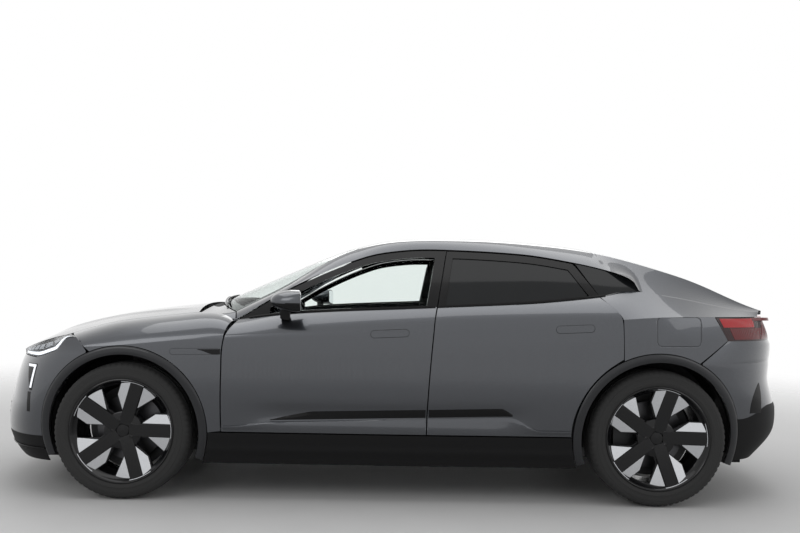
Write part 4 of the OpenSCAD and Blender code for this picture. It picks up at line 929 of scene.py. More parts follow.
def place(obj: Piece, body: str, slot: str, *nodes: str) -> Piece:
    """Puts a piece on its body and hides the solids that it stands for.

    Args:
        obj: the piece.
        body: the body that carries it.
        slot: the record's material slot; not used.
        nodes: the solids that it stands for.

    Returns:
        The piece.
    """
    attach(obj, body)
    if nodes:
        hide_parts(*nodes)
    LOG.info("%s on %s, %d faces", obj.name, body, len(obj.data.polygons))
    return obj


@dataclass
class SidePatch:
    """A rounded plate that follows the body side."""

    x: float
    z: float
    long: float
    high: float
    corner: float
    tilt: float = 0.0
    points: int = 64
    rings: int = 8

    def outline(self, grow: float = 0.0) -> Array:
        """Outline of the plate round its middle, grown by a width.

        Args:
            grow: width added all round.

        Returns:
            The outline as [x, z] pairs.
        """
        a = np.linspace(0, 2 * math.pi, self.points, endpoint=False)
        c, s = np.cos(a), np.sin(a)
        x = np.sign(c) * (self.long / 2 - self.corner) + (self.corner + grow) * c
        z = np.sign(s) * (self.high / 2 - self.corner) + (self.corner + grow) * s
        return np.stack([x, z], -1)

    def build(self, name: str, side: Side, finishes: Sequence[Finish], lift: float, sink: float,
              grow: float = 0.0, crown: float = 0.0) -> Piece:
        """The plate as a closed piece.

        Args:
            name: the piece's name.
            side: the side it sits on.
            finishes: its finishes.
            lift: how far its face stands outboard of the body side.
            sink: how far its back lies inboard of the body side.
            grow: width that is added round its outline.
            crown: extra height in its middle.

        Returns:
            The new object.
        """
        edge = self.outline(grow)
        scale = np.linspace(1, 0.02, self.rings)
        turn = math.radians(self.tilt)
        flat = edge[None] * scale[:, None, None]
        x = self.x + flat[..., 0] * math.cos(turn) - flat[..., 1] * math.sin(turn)
        z = self.z + flat[..., 0] * math.sin(turn) + flat[..., 1] * math.cos(turn)
        rise = lift + crown * (1 - scale[:, None] ** 2) + 0 * x
        face = LINES.side_p(x, z, rise)
        back = LINES.side_p(x[:1], z[:1], -sink)
        rings = side.turn(np.concatenate([back, face]))
        return Maker.loft(name, rings, finishes, bevel=0.8)


@dataclass(frozen=True)
class EndPatch:
    """A plate that follows the nose or the tail, between two lines of X and two heights."""

    front: Line
    back: Line
    low: float
    high: float
    at_nose: bool
    cols: int = 14
    rows: int = 20

    def build(self, name: str, side: Side, lift: float, sink: float, finishes: Sequence[Finish]) -> Piece:
        """The plate as a closed piece.

        Args:
            name: the piece's name.
            side: the side it sits on.
            lift: how far its face stands out of the surface.
            sink: how far its back lies inside the surface.
            finishes: its finishes.

        Returns:
            The new object.
        """
        surface = LINES.nose_p if self.at_nose else LINES.tail_p
        middle = LINES.fa - 150 if self.at_nose else LINES.ra + 150
        z = steps(self.rows, self.low, self.high)
        t = np.zeros((self.rows + 1, self.cols + 1))
        fine = np.linspace(0, 1, 300)
        for n, height in enumerate(z):
            line = surface(fine, np.full(300, height))[:, 0]
            order = np.argsort(line)
            x = np.linspace(float(self.front(height)), float(self.back(height)), self.cols + 1)
            t[n] = np.interp(x, line[order], fine[order])
        zz = np.broadcast_to(z[:, None], t.shape)
        p = surface(t, zz)
        aim = np.stack([p[..., 0] - middle, p[..., 1], 0 * zz], -1)
        aim /= np.linalg.norm(aim, axis=-1)[..., None]
        return Maker.panel(name, side, p + lift * aim, p - sink * aim, finishes, 1.0)


@dataclass
class Door:
    """One side door with its window frame, glass, handle, strip and inner trim."""

    side: Side
    front: bool
    handle_x: float
    handle_z: float
    handle_l: float = 212
    handle_h: float = 40

    @property
    def word(self) -> str:
        """Place of the door in names."""
        return f"{'front' if self.front else 'rear'}_{self.side.word}"

    @property
    def body(self) -> str:
        """Body that carries the door."""
        return f"{'front' if self.front else 'rear'}_door_{self.side.word}"

    def lines(self) -> tuple[Line, Line, float, float]:
        """Front and rear cut lines and the places where their heights are taken.

        Returns:
            The two lines and the two places.
        """
        fa, ra = LINES.fa, LINES.ra
        if self.front:
            return LINES.front_x, LINES.mid_x, fa + 560, fa + 1740
        return LINES.mid_x, LINES.rear_door_end, fa + 1740, ra - 230

    def grid(self, deep: float, lead_in: float, trail_in: float) -> Array:
        """Grid of the door's skin, deep inside its face and set in from its cut lines.

        Args:
            deep: depth behind the face.
            lead_in: width set in from the front cut.
            trail_in: width set in from the rear cut.

        Returns:
            The grid of points.
        """
        lead, trail, x_lead, x_trail = self.lines()
        rows = np.concatenate([steps(30), 1 + steps(14)[1:]])
        u, v = lattice(steps(44), rows)
        q, t = np.minimum(v, 1), np.maximum(v - 1, 0)
        bottom, half = LINES.door_bottom, LINES.shut / 2
        z_lead = mix(mix(bottom, LINES.crease_z(x_lead), q), LINES.belt_z(x_lead), t)
        z_trail = mix(mix(bottom, LINES.crease_z(x_trail), q), LINES.belt_z(x_trail), t)
        x = mix(lead(z_lead) + half + lead_in, trail(z_trail) - half - trail_in, u)
        z = mix(bottom, LINES.crease_z(x), q)
        p = np.where((t > 0)[..., None], LINES.shoulder(x, t), LINES.side_p(x, z))
        p[..., 1] += deep * (1 - 0.36 * t)
        return p

    def frame_paths(self, inset: float) -> tuple[Array, Array]:
        """Outer and inner [x, z] paths of the window frame.

        Args:
            inset: width set in from the edges.

        Returns:
            The outer path and the inner path.
        """
        top_gap, frame, post, half = LINES.gap + 3, LINES.frame_w, LINES.post_w, LINES.shut / 2
        mid, rear, top, belt = LINES.mid_x, LINES.rear_x, LINES.light_top, LINES.belt_z
        fa = LINES.fa
        low = LINES.belt_mid - 46
        if self.front:
            lead = np.linspace(fa + 634, LINES.sail_x, 9)
            xo = np.concatenate([lead, np.linspace(LINES.sail_x + 2, mid(1436) - half - inset, 28)])
            xi = np.concatenate([lead, np.linspace(LINES.sail_x + 2, mid(1400) - post, 28)])
            zo = top(xo) - top_gap - 0.4 * inset
            zi = np.where(np.arange(len(xi)) < 9, np.minimum(belt(xi) - 12, top(xi) - 24),
                          top(xi) - top_gap - frame)
            zo2 = np.linspace(top(fa + 1800), low, 9)[1:]
            zi2 = np.linspace(top(fa + 1720) - frame, low, 9)[1:]
            outer = np.stack([np.r_[xo, mid(zo2) - half - inset], np.r_[zo, zo2]], -1)
            inner = np.stack([np.r_[xi, mid(zi2) - post], np.r_[zi, zi2]], -1)
            return outer, inner
        z1 = np.linspace(low + 4, LINES.height - 108, 10)
        z1i = np.linspace(low + 4, LINES.height - 108 - frame, 10)
        xo = np.linspace(mid(1436) + half + inset, rear(1368) - half - inset, 28)[1:]
        xi = np.linspace(mid(1400) + post * 0.7, rear(1328) - post, 28)[1:]
        z3 = np.linspace(1364, LINES.belt_mid + 20, 10)[1:]
        z3i = np.linspace(1322, LINES.belt_mid + 20, 10)[1:]
        outer = np.stack([np.r_[mid(z1) + half + inset, xo, rear(z3) - half - inset],
                          np.r_[z1, top(xo) - top_gap - 0.4 * inset, z3]], -1)
        inner = np.stack([np.r_[mid(z1i) + post * 0.7, xi, rear(z3i) - post],
                          np.r_[z1i, top(xi) - top_gap - frame, z3i]], -1)
        return outer, inner

    def window_frame(self) -> Piece:
        """The gloss black frame round the door's window.

        Returns:
            The new object.
        """
        outer, inner = self.frame_paths(0)
        outer_deep, _ = self.frame_paths(18)
        across = steps(4)
        rows = [mix(outer, inner, t) for t in across]
        deep = [mix(outer_deep, inner, t) for t in across]
        face = np.array([at(r[:, 0], LINES.glass_w(r[:, 0], r[:, 1]), r[:, 1]) for r in rows])
        back = np.array([at(r[:, 0], LINES.glass_w(r[:, 0], r[:, 1]) - LINES.frame_t, r[:, 1])
                         for r in deep])
        return Maker.panel(f"window_frame_{self.word}", self.side, face, back,
                           [GLOSS_BLACK], 1.5)

    def glass(self) -> Piece:
        """The door's glass, standing on the belt.

        Returns:
            The new object.
        """
        post, mid, rear = LINES.post_w, LINES.mid_x, LINES.rear_x
        if self.front:
            lead, trail = (lambda z: LINES.sail_x + 1.0 + 0 * z), (lambda z: mid(z) - post + 1.0)
        else:
            lead, trail = (lambda z: mid(z) + post * 0.7 - 1.0), (lambda z: rear(z) - post + 1.0)
        u, v = lattice(steps(40), steps(20))
        belt, top = LINES.belt_z, LINES.light_top
        xa = mix(lead(belt(lead(1090.0))), trail(belt(trail(1090.0))), u)
        xb = mix(lead(top(lead(1400.0)) - 56), trail(top(trail(1350.0)) - 56), u)
        za, zb = belt(xa) - 6, top(xb) - LINES.gap - 3 - LINES.frame_w + 2
        x, z = mix(xa, xb, v), mix(za, zb, v)
        panes = [at(x, LINES.glass_w(x, z) - 6 - d, z) for d in (0, LINES.glass_t)]
        finish = TINT_GLASS if self.front else DARK_GLASS
        return Maker.panel(f"pane_{self.word}", self.side, panes[0], panes[1], [finish], 0.8)

    def handle(self) -> list[Piece]:
        """The flush handle and the dark line round it.

        Returns:
            The groove and the grip.
        """
        plate = SidePatch(self.handle_x, self.handle_z, self.handle_l, self.handle_h, 19.9, 3.0)
        groove = plate.build(f"handle_groove_{self.word}", self.side, [GLOSS_BLACK], 0.25, 6, 2.4)
        grip = plate.build(f"handle_{self.word}", self.side, [PAINT], 1.2, 4, 0.0, 0.6)
        return [groove, grip]

    def lower_strip(self) -> Piece:
        """The black strip low on the door, with its front end swept up.

        Returns:
            The new object.
        """
        fa, mid = LINES.fa, LINES.mid_x
        x0, x1 = (fa + 830, mid(500.0) - 8) if self.front else (mid(500.0) + 8, LINES.ra - 815)
        u, v = lattice(steps(40), steps(6))
        x = mix(x0, x1, u)
        run = (x - (fa + 690)) / (LINES.ra - 600 - fa - 690)
        rear = LINES.ra - 815
        low = 452 + 52 * run
        swept = np.clip((x - (fa + 830)) / 230, 0.06, 1) ** 0.8
        tall = 46 * swept * np.clip((rear - x) / 60, 0.08, 1) ** 0.6
        z = low + tall * v
        lift = 5 * np.sin(np.pi * np.clip(v, 0.06, 0.94))
        face, back = LINES.side_p(x, z, lift), LINES.side_p(x, z, -8)
        return Maker.panel(f"door_strip_{self.word}", self.side, face, back, [GLOSS_BLACK], 1.0)

    def lower_flank(self) -> Piece:
        """The painted flank that swells out below the strip and runs into the sill.

        Returns:
            The new object.
        """
        fa, ra, mid = LINES.fa, LINES.ra, float(LINES.mid_x(450.0))
        u, v = lattice(steps(70), steps(12))
        x0, x1 = (fa + 568, mid - 8) if self.front else (mid + 8, ra - 470)
        x = mix(x0, x1, u)
        low = LINES.door_bottom + 5
        strip = 446 + 52 * (x - fa - 690) / (ra - fa - 1290)
        swell = (strip - low - 30) * ease(fa + 590, fa + 840, x)
        edge = low + 30 + swell * (1 - ease(ra - 830, ra - 640, x))
        z = mix(low, edge, v)
        if not self.front:
            x = mix(x0, LINES.rear_door_end(z) - 10, u)
        lift = 1.2 + 8 * ease(0.0, 0.85, v) - 8.7 * ease(0.84, 1.0, v)
        return Maker.panel(f"door_flank_{self.word}", self.side, LINES.side_p(x, z, lift),
                           LINES.side_p(x, z, -5), [PAINT], 0.6)

    def belt_strip(self) -> Piece:
        """The dark sealing strip along the belt.

        Returns:
            The new object.
        """
        lead, trail, *_ = self.lines()
        x = np.linspace(lead(LINES.belt_mid - 40.0) + (40 if self.front else 8),
                        trail(LINES.belt_mid + 20.0) - 14, 40)
        path = at(x, LINES.belt_w(x) + 1, LINES.belt_z(x) + 3)
        return Maker.tube(f"belt_strip_{self.word}", self.side.turn(path), 9, 15, [GLOSS_BLACK])

    def inner_trim(self) -> Piece:
        """Armrest, pull and speaker mesh on the inside of the door.

        Returns:
            The new object.
        """
        lead, trail, *_ = self.lines()
        x0, x1 = float(lead(640.0)) + 130, float(trail(640.0)) - (150 if self.front else 250)
        w = LINES.hw - LINES.door_t - 26
        x = np.linspace(x0, x1, 24)
        rest = Maker.tube("rest", self.side.turn(at(x, w - 14 + 0 * x, 690 + 26 * (x - x0) / (x1 - x0))),
                          52, 44, [TRIM])
        pull = Maker.tube("pull", self.side.turn(at(x[4:16], w - 10 + 0 * x[4:16], 812 + 0 * x[4:16])), 24,
                          26, [BLACK_PLASTIC])
        pocket = Maker.tube("pocket", self.side.turn(at(x, w - 8 + 0 * x, 470 + 0 * x)), 40, 120,
                            [BLACK_PLASTIC])
        return Maker.join(f"door_trim_{self.word}", [rest, pull, pocket])

    def build(self) -> None:
        """Builds and dresses the whole door."""
        outer, inner = self.grid(0, 0, 0), self.grid(LINES.door_t, 10, 26)
        skin = Maker.panel(f"door_skin_{self.word}", self.side, outer, inner, [PAINT, TRIM], 1.6)
        for quad in skin.data.polygons:
            if quad.normal.z > 0.4 and abs(quad.center.y) < (LINES.belt_w(quad.center.x / MM) - 2) * MM:
                quad.material_index = 1
        row = "front" if self.front else "rear"
        place(skin, self.body, "grey_paint", f"door_{row}_{self.side.word}")
        place(self.window_frame(), self.body, "black_plastic")
        slot = "clear_glass" if self.front else "dark_glass"
        place(self.glass(), self.body, slot, f"glass_{row}_{self.side.word}")
        for piece in self.handle():
            place(piece, self.body, "grey_paint")
        place(self.lower_strip(), self.body, "black_plastic")
        place(self.lower_flank(), self.body, "grey_paint")
        place(self.belt_strip(), self.body, "black_plastic")
        place(self.inner_trim(), self.body, "cabin_plastic")


@dataclass
class DoorMirror:
    """A door mirror: painted cap, black foot and silvered glass."""

    side: Side
    z: float = 1126

    def grid(self, back: bool, shrink: float = 0.0) -> Array:
        """Grid of the cap, or of its flat back.

        Args:
            back: whether it is the flat back.
            shrink: share by which it shrinks.

        Returns:
            The grid of points.
        """
        u, v = lattice(steps(28, -1, 1) * (1 - shrink), steps(22, -1, 1) * (1 - shrink))
        x0 = LINES.fa + 984
        y = -LINES.hw + 8 - 78 * u * (1 - 0.16 * v * v)
        z = self.z + 58 * v * (1 - 0.2 * u * u) - 8 * u
        bulge = -156 * np.sqrt((1 - 0.88 * u * u) * (1 - 0.88 * v * v))
        x = x0 + 12 * u + (6 if back else bulge)
        return np.stack([x, y, z], -1)

    def build(self) -> None:
        """Builds and dresses the mirror."""
        cap = Maker.panel("cap", self.side, self.grid(False), self.grid(True),
                          [PAINT, BLACK_PLASTIC, GLOSS_BLACK], 14)
        low = (self.z - 14) * MM
        for face in cap.data.polygons:
            if face.material_index == 0 and face.center.z < low:
                face.material_index = 2
        glass_face = self.grid(True, 0.14)
        glass = Maker.panel("glass", self.side, glass_face + [3, 0, 0], glass_face - [4, 0, 0], [MIRROR], 1)
        x, w = LINES.fa + 905, float(LINES.belt_w(LINES.fa + 880))
        foot = np.array([[x, -w + 4, LINES.belt_mid - 79], [x, -w - 30, LINES.belt_mid - 78],
                         [x, -LINES.hw + 46, LINES.belt_mid - 70],
                         [x + 2, -LINES.hw + 34, LINES.belt_mid - 40],
                         [x + 4, -LINES.hw + 30, self.z - 20]])
        stalk = Maker.tube("stalk", self.side.turn(foot), 58, 27, [GLOSS_BLACK], 16, (0.2, 0.4, 1))
        piece = Maker.join(f"door_mirror_{self.side.word}", [cap, glass, stalk])
        place(piece, f"front_door_{self.side.word}", "grey_paint", f"mirror_{self.side.word}")


@dataclass
class FrontEnd:
    """Hood, fenders, front bumper, lip and headlamps."""

    lip_top: float = 335
    cowl_half: float = 430
    lamp_part: float = 0.75

    def hood_grid(self, deep: float, inset: float) -> Array:
        """Grid of the hood, deep below its face and set in from its edges.

        Args:
            deep: depth behind the face.
            inset: width set in from the edges.

        Returns:
            The grid of points.
        """
        u, v = lattice(steps(60, -1, 1), steps(50))
        x0 = LINES.nose_x + 114 + 0.00025 * (u * 480) ** 2 + inset
        x1 = LINES.hood_back + 0.00011 * (u * (750 - inset)) ** 2 - inset
        x = mix(x0, x1, v)
        y = u * (LINES.hood_half(np.maximum(x, LINES.nose_x + 157)) + 1.0 - inset)
        crest = 7 * np.exp(-((np.abs(y) - mix(330, 520, v)) / 60) ** 2)
        ridge = crest * ease(0.04, 0.3, v) * (1 - ease(0.8, 1, v))
        return np.stack([x, y, LINES.hood_z(x, y) + ridge - deep], -1)

    def fender_grid(self, deep: float) -> Array:
        """Grid of the left fender, deep behind its face.

        Args:
            deep: depth behind the face.

        Returns:
            The grid of points.
        """
        fa, edge, hub = LINES.fa, LINES.arch_edge, LINES.hub_z
        i, j = lattice(steps(17 * 5, 0, 17), steps(8 * 5, 0, 8))
        half = LINES.shut / 2 + 1
        a = np.radians(mix(112.5, 0, np.minimum(i / 13, 1)))
        q = (i - 13) / 4
        low_x = np.where(i <= 13, fa + edge * np.cos(a), mix(fa + edge, LINES.front_x(400) - half, q))
        low_z = np.where(i <= 13, hub + edge * np.sin(a), mix(hub, LINES.sill_z + 186, q))
        deg = np.degrees(a)
        lean = np.where(deg > 90, -32 * (deg - 90) / 22.5, 20 * (1 - deg / 90))
        xc = np.where(i <= 13, low_x + lean, mix(fa + edge + 20, LINES.front_x(915) - half, q))
        first, twelve = xc[0, 0], xc[0, 60]
        f = (xc - first) / (twelve - first)
        corner = LINES.hood_side(np.array(fa + 360.0))
        end = np.array([fa + 594, -(LINES.hw - 156), LINES.belt_mid - 94])
        guide = np.array([fa + 520, corner[1] + 2, corner[2] + 14])
        rear = bow(corner, guide, end, np.maximum((i - 12) / 5, 0)[..., None])
        e = np.where((i <= 12)[..., None], LINES.hood_side(mix(fa - 356, fa + 360, np.clip(f, 0, 1))), rear)
        c = LINES.crease_p(xc)
        r, t = np.minimum(j / 4, 1), np.maximum(j - 4, 0) / 4
        x, z = mix(low_x, xc, r), mix(low_z, LINES.crease_z(xc), r)
        k = np.stack([mix(xc, e[..., 0], 0.55), mix(c[..., 1], e[..., 1], 0.16),
                      mix(c[..., 2], e[..., 2], 0.86)], -1)
        p = np.where((j <= 4)[..., None], LINES.side_p(x, z), bow(c, k, e, t[..., None]))
        stop = LINES.front_x(p[..., 2]) - half
        p[..., 0] = np.minimum(p[..., 0], np.where(i > 15, stop, p[..., 0]))
        p[..., 1] += deep * (1 - 0.75 * t)
        p[..., 2] -= deep * 0.75 * t
        return p

    def nose_grid(self, low: float, high: Optional[float], deep: float, rows: int) -> Array:
        """Grid of the nose between two heights, or up to its own upper edge.

        Args:
            low: lower height.
            high: upper height, or none for the nose's own edge.
            deep: depth behind the face.
            rows: rows of points.

        Returns:
            The grid of points.
        """
        u, v = lattice(steps(112, -1, 1), steps(rows))
        t = 1 - np.abs(u)
        z = mix(low, LINES.nose_top(t) if high is None else high, v)
        p = LINES.nose_p(t, z)
        aim = np.stack([LINES.fa - 150 - p[..., 0], -p[..., 1], 0 * z], -1)
        p = p + deep * aim / np.linalg.norm(aim, axis=-1)[..., None]
        p[..., 1] *= np.where(u > 0, -1, 1)
        return p

    def lamp_grid(self, deep: float, s0: float = 0.0, s1: float = 1.0, v0: float = 0.0,
                  v1: float = 1.0) -> Array:
        """Grid of the upper headlamp, s along the hood's edge and v up.

        Args:
            deep: depth behind the face.
            s0: start along the lamp, 0 to 1.
            s1: end along the lamp, 0 to 1.
            v0: lower edge, 0 to 1.
            v1: upper edge, 0 to 1.

        Returns:
            The grid of points.
        """
        s, v = lattice(steps(44, s0, s1), steps(14, v0, v1))
        t = s * self.lamp_part
        b = LINES.hood_side(mix(LINES.fa - 372, LINES.nose_x + 180, s ** 0.9)) + [0, 0, -2]
        a = LINES.nose_p(t, LINES.nose_top(t) + LINES.cut)
        a[..., 0] += mix(-6, LINES.cut, ease(0, 0.3, s))
        m = np.stack([LINES.fa - 150 - a[..., 0], -a[..., 1], 0 * s], -1)
        m /= np.linalg.norm(m, axis=-1)[..., None]
        vv = v[..., None]
        return bow(a, mix(a, b, 0.5) + [-6, -10, 10], b, vv) + deep * mix(m, np.array([0.2, 0, -1]), vv)

    def headlamps(self) -> None:
        """The upper lamps: a clear lens over a dark body with a bright blade, and the lower lamps."""
        lenses, inners = [], []
        for side in Side:
            lenses.append(Maker.panel("lens", side, self.lamp_grid(0), self.lamp_grid(3), [LENS], 0.6))
            inners.append(Maker.panel("body", side, self.lamp_grid(12), self.lamp_grid(30), [GLOSS_BLACK],
                                      0.6))
            inners.append(Maker.panel("blade", side, self.lamp_grid(6, 0.03, 0.96, 0.09, 0.27),
                                      self.lamp_grid(13, 0.03, 0.96, 0.09, 0.27), [LED], 1.0))
            for n in range(7):
                s = 0.2 + 0.1 * n
                inners.append(Maker.panel("cell", side, self.lamp_grid(7, s, s + 0.075, 0.42, 0.80),
                                          self.lamp_grid(13, s, s + 0.075, 0.42, 0.80), [REFLECTOR], 1.0))
        place(Maker.join("headlamp_lenses", lenses), "body", "lamp_lens", "headlamps")
        place(Maker.join("headlamp_bodies", inners), "body", "black_plastic")
        self.lower_lamps()

    def lower_lamps(self) -> None:
        """The lamps low in the bumper, each a dark pocket with a bright bent line, over a thin black strip
        of painted shade along the air-curtain recess.
        """
        nose = LINES.nose_x
        pieces, lights = [], []
        front = Curve((590, nose + 366), (742, nose + 322))
        back = Curve((590, nose + 384), (742, nose + 408))
        # slot is the front edge of a thin black strip that stands for the shadowed edge of the
        # body-coloured air-curtain recess: painted shade.
        slot = Curve((470, nose + 348), (584, nose + 352))
        for side in Side:
            pieces.append(EndPatch(front, back, 592, 742, True).build("pocket", side, 1.2, 14,
                                                                      [GLOSS_BLACK]))
            lights.append(EndPatch(lambda z: front(z) + 6, lambda z: back(z) - 6, 723, 737,
                                   True).build("line", side, 3.2, 4, [LED]))
            lights.append(EndPatch(lambda z: back(z) - 21, lambda z: back(z) - 7, 606, 723, True,
                                   4).build("line", side, 3.2, 4, [LED]))
            # Thin black strip along the air-curtain recess: painted shade, not an opening.
            pieces.append(EndPatch(slot, lambda z: slot(z) + 24, 470, 584,
                                   True).build("air_slot", side, 1.0, 20, [GLOSS_BLACK]))
        place(Maker.join("lower_lamp_pockets", pieces), "body", "black_plastic")
        place(Maker.join("lower_lamp_lines", lights), "body", "lamp_lens")

    def intake(self) -> None:
        """The lower intake across the nose with its slats."""
        u, v = lattice(steps(60, -1, 1), steps(8))
        t = 1 - np.abs(u) * 0.42
        z = mix(392, 520 - 40 * np.abs(u) ** 3, v)
        p = LINES.nose_p(t, z)
        p[..., 1] *= np.where(u > 0, -1, 1)
        pieces = [Maker.shell("mouth", p + [-1.5, 0, 0], p + [14, 0, 0], [GLOSS_BLACK], 2)]
        for height in (418, 446, 474):
            t1 = 1 - np.abs(np.linspace(-1, 1, 60)) * 0.38
            row = LINES.nose_p(t1, np.full(60, float(height)))
            row[:, 1] *= np.where(np.linspace(-1, 1, 60) > 0, -1, 1)
            pieces.append(Maker.tube("slat", row + [-2, 0, 0], 10, 7, [BLACK_PLASTIC]))
        place(Maker.join("nose_intake", pieces), "body", "black_plastic")

    def build(self) -> None:
        """Builds and dresses the front end."""
        hood = Maker.shell("hood_panel", self.hood_grid(0, 0), self.hood_grid(LINES.lid_t, 14),
                           [PAINT, STEEL], 2)
        place(hood, "hood_lid", "grey_paint", "hood")
        self.hood_hinges()
        for side in Side:
            fender = Maker.panel(f"fender_panel_{side.word}", side, self.fender_grid(0),
                                 self.fender_grid(4), [PAINT], 0.8)
            place(fender, "body", "grey_paint", f"fender_{side.word}")
        bumper = Maker.shell("nose_panel", self.nose_grid(self.lip_top, None, 0, 60),
                             self.nose_grid(self.lip_top, None, 4, 60), [PAINT], 0.8)
        place(bumper, "body", "grey_paint", "front_bumper")
        lip = Maker.shell("nose_lip", self.nose_grid(190, self.lip_top - 0.4, 0, 16),
                          self.nose_grid(190, self.lip_top - 0.4, 4, 16), [BLACK_PLASTIC], 0.8)
        place(lip, "body", "black_plastic", "front_lip")
        u = np.linspace(-1, 1, 121)
        edge = LINES.nose_p(1 - np.abs(u), np.full(121, 262.0))
        edge[:, 1] *= np.where(u > 0, -1, 1)
        place(Maker.tube("splitter_edge", edge, 16, 9, [GLOSS_BLACK]), "body", "black_plastic")
        self.headlamps()
        self.intake()
        self.cowl_panel()
        self.fender_pockets()

    def cowl_panel(self) -> None:
        """The black panel between the hood's rear edge and the windscreen's foot."""
        u, v = lattice(steps(60, -1, 1), steps(10))
        y = u * 748
        back = LINES.hood_back + 0.00011 * y ** 2
        edge = np.stack([back + 7, y, LINES.hood_z(back, y) - 5], -1)
        foot = LINES.screen_p(u * 0.985, 0 * v) + [-3, 0, -5]
        start = np.clip((LINES.hood_back + 69 - edge[..., 0]) / (foot[..., 0] - edge[..., 0]), 0, 0.9)
        face = mix(edge, foot, (start + (1 - start) * v)[..., None])
        face[..., 2] -= 9 * np.sin(np.pi * v)
        panel = Maker.shell("cowl_panel", face, face - [0, 0, 5], [BLACK_PLASTIC, BLACK_PLASTIC, PAINT], 1)
        for quad in panel.data.polygons:
            if abs(quad.center.y) > self.cowl_half * MM:
                quad.material_index = 2
        wings = []
        for side in Side:
            rim = face[:, 0] if face[0, 0, 1] < 0 else face[:, -1]
            rim = np.stack([rim + [0, 6, 1], rim + [4, -20, -8], rim + [10, -60, -46]])
            wings.append(Maker.panel("wing", side, rim, rim - [0, 0, 4], [PAINT], 0))
        lead = face[0][np.abs(y[0]) < 640]
        floor = LINES.cowl_z - 99 - 60 * (lead[:, 1] / 748) ** 2
        front = np.stack([LINES.hood_back + 0.00011 * lead[:, 1] ** 2 - 12, lead[:, 1], floor], -1)
        rows = np.stack([front, np.stack([lead[:, 0] + 5, lead[:, 1], floor], -1), lead + [5, 0, -3]])
        trough = Maker.shell("trough", rows, rows + [3, 0, -3], [BLACK_PLASTIC], 0)
        place(Maker.join("cowl_cover", [panel, trough, *wings]), "body", "black_plastic")

    def fender_pockets(self) -> None:
        """The long plates on the fenders, each with a black pocket at its rear end."""
        pods = []
        plate = SidePatch(LINES.fa + 412, 836, 284, 33, 16.4, 1.0)
        for side in Side:
            pods.append(plate.build("groove", side, [GLOSS_BLACK], 0.25, 4, 1.6))
            pods.append(plate.build("plate", side, [PAINT], 0.9, 3, 0.0, 0.3))
            u, v = lattice(steps(30), steps(6))
            x = LINES.fa + mix(425, 551, u)
            top = mix(849, 851, u)
            z = top - (5 + 25 * ease(0.0, 0.75, u)) * (1 - v)
            pods.append(Maker.panel("pocket", side, LINES.side_p(x, z, 1.8), LINES.side_p(x, z, -6),
                                    [GLOSS_BLACK], 0.8))
        place(Maker.join("fender_pods", pods), "body", "black_plastic")

    def hood_hinges(self) -> None:
        """The two hinge eyes under the hood's rear edge."""
        eyes = []
        for side in Side:
            x, y, z = LINES.hood_back - 12, -590.0, LINES.cowl_z - 92
            a = np.linspace(0, 2 * math.pi, 32, endpoint=False)
            rings = np.array([np.stack([x + 15 * np.cos(a), np.full(32, y + w), z + 15 * np.sin(a)], -1)
                              for w in (-20, 20)])
            eyes.append(Maker.loft("eye", side.turn(rings), [STEEL], bevel=1.5))
            eyes.append(Maker.box("lug", side.turn(np.array([x - 14, y - 20, z + 2])),
                                  side.turn(np.array([x + 14, y + 20, z + 34])), [STEEL]))
        place(Maker.join("hood_hinge_eyes", eyes), "hood_lid", "dark_steel")


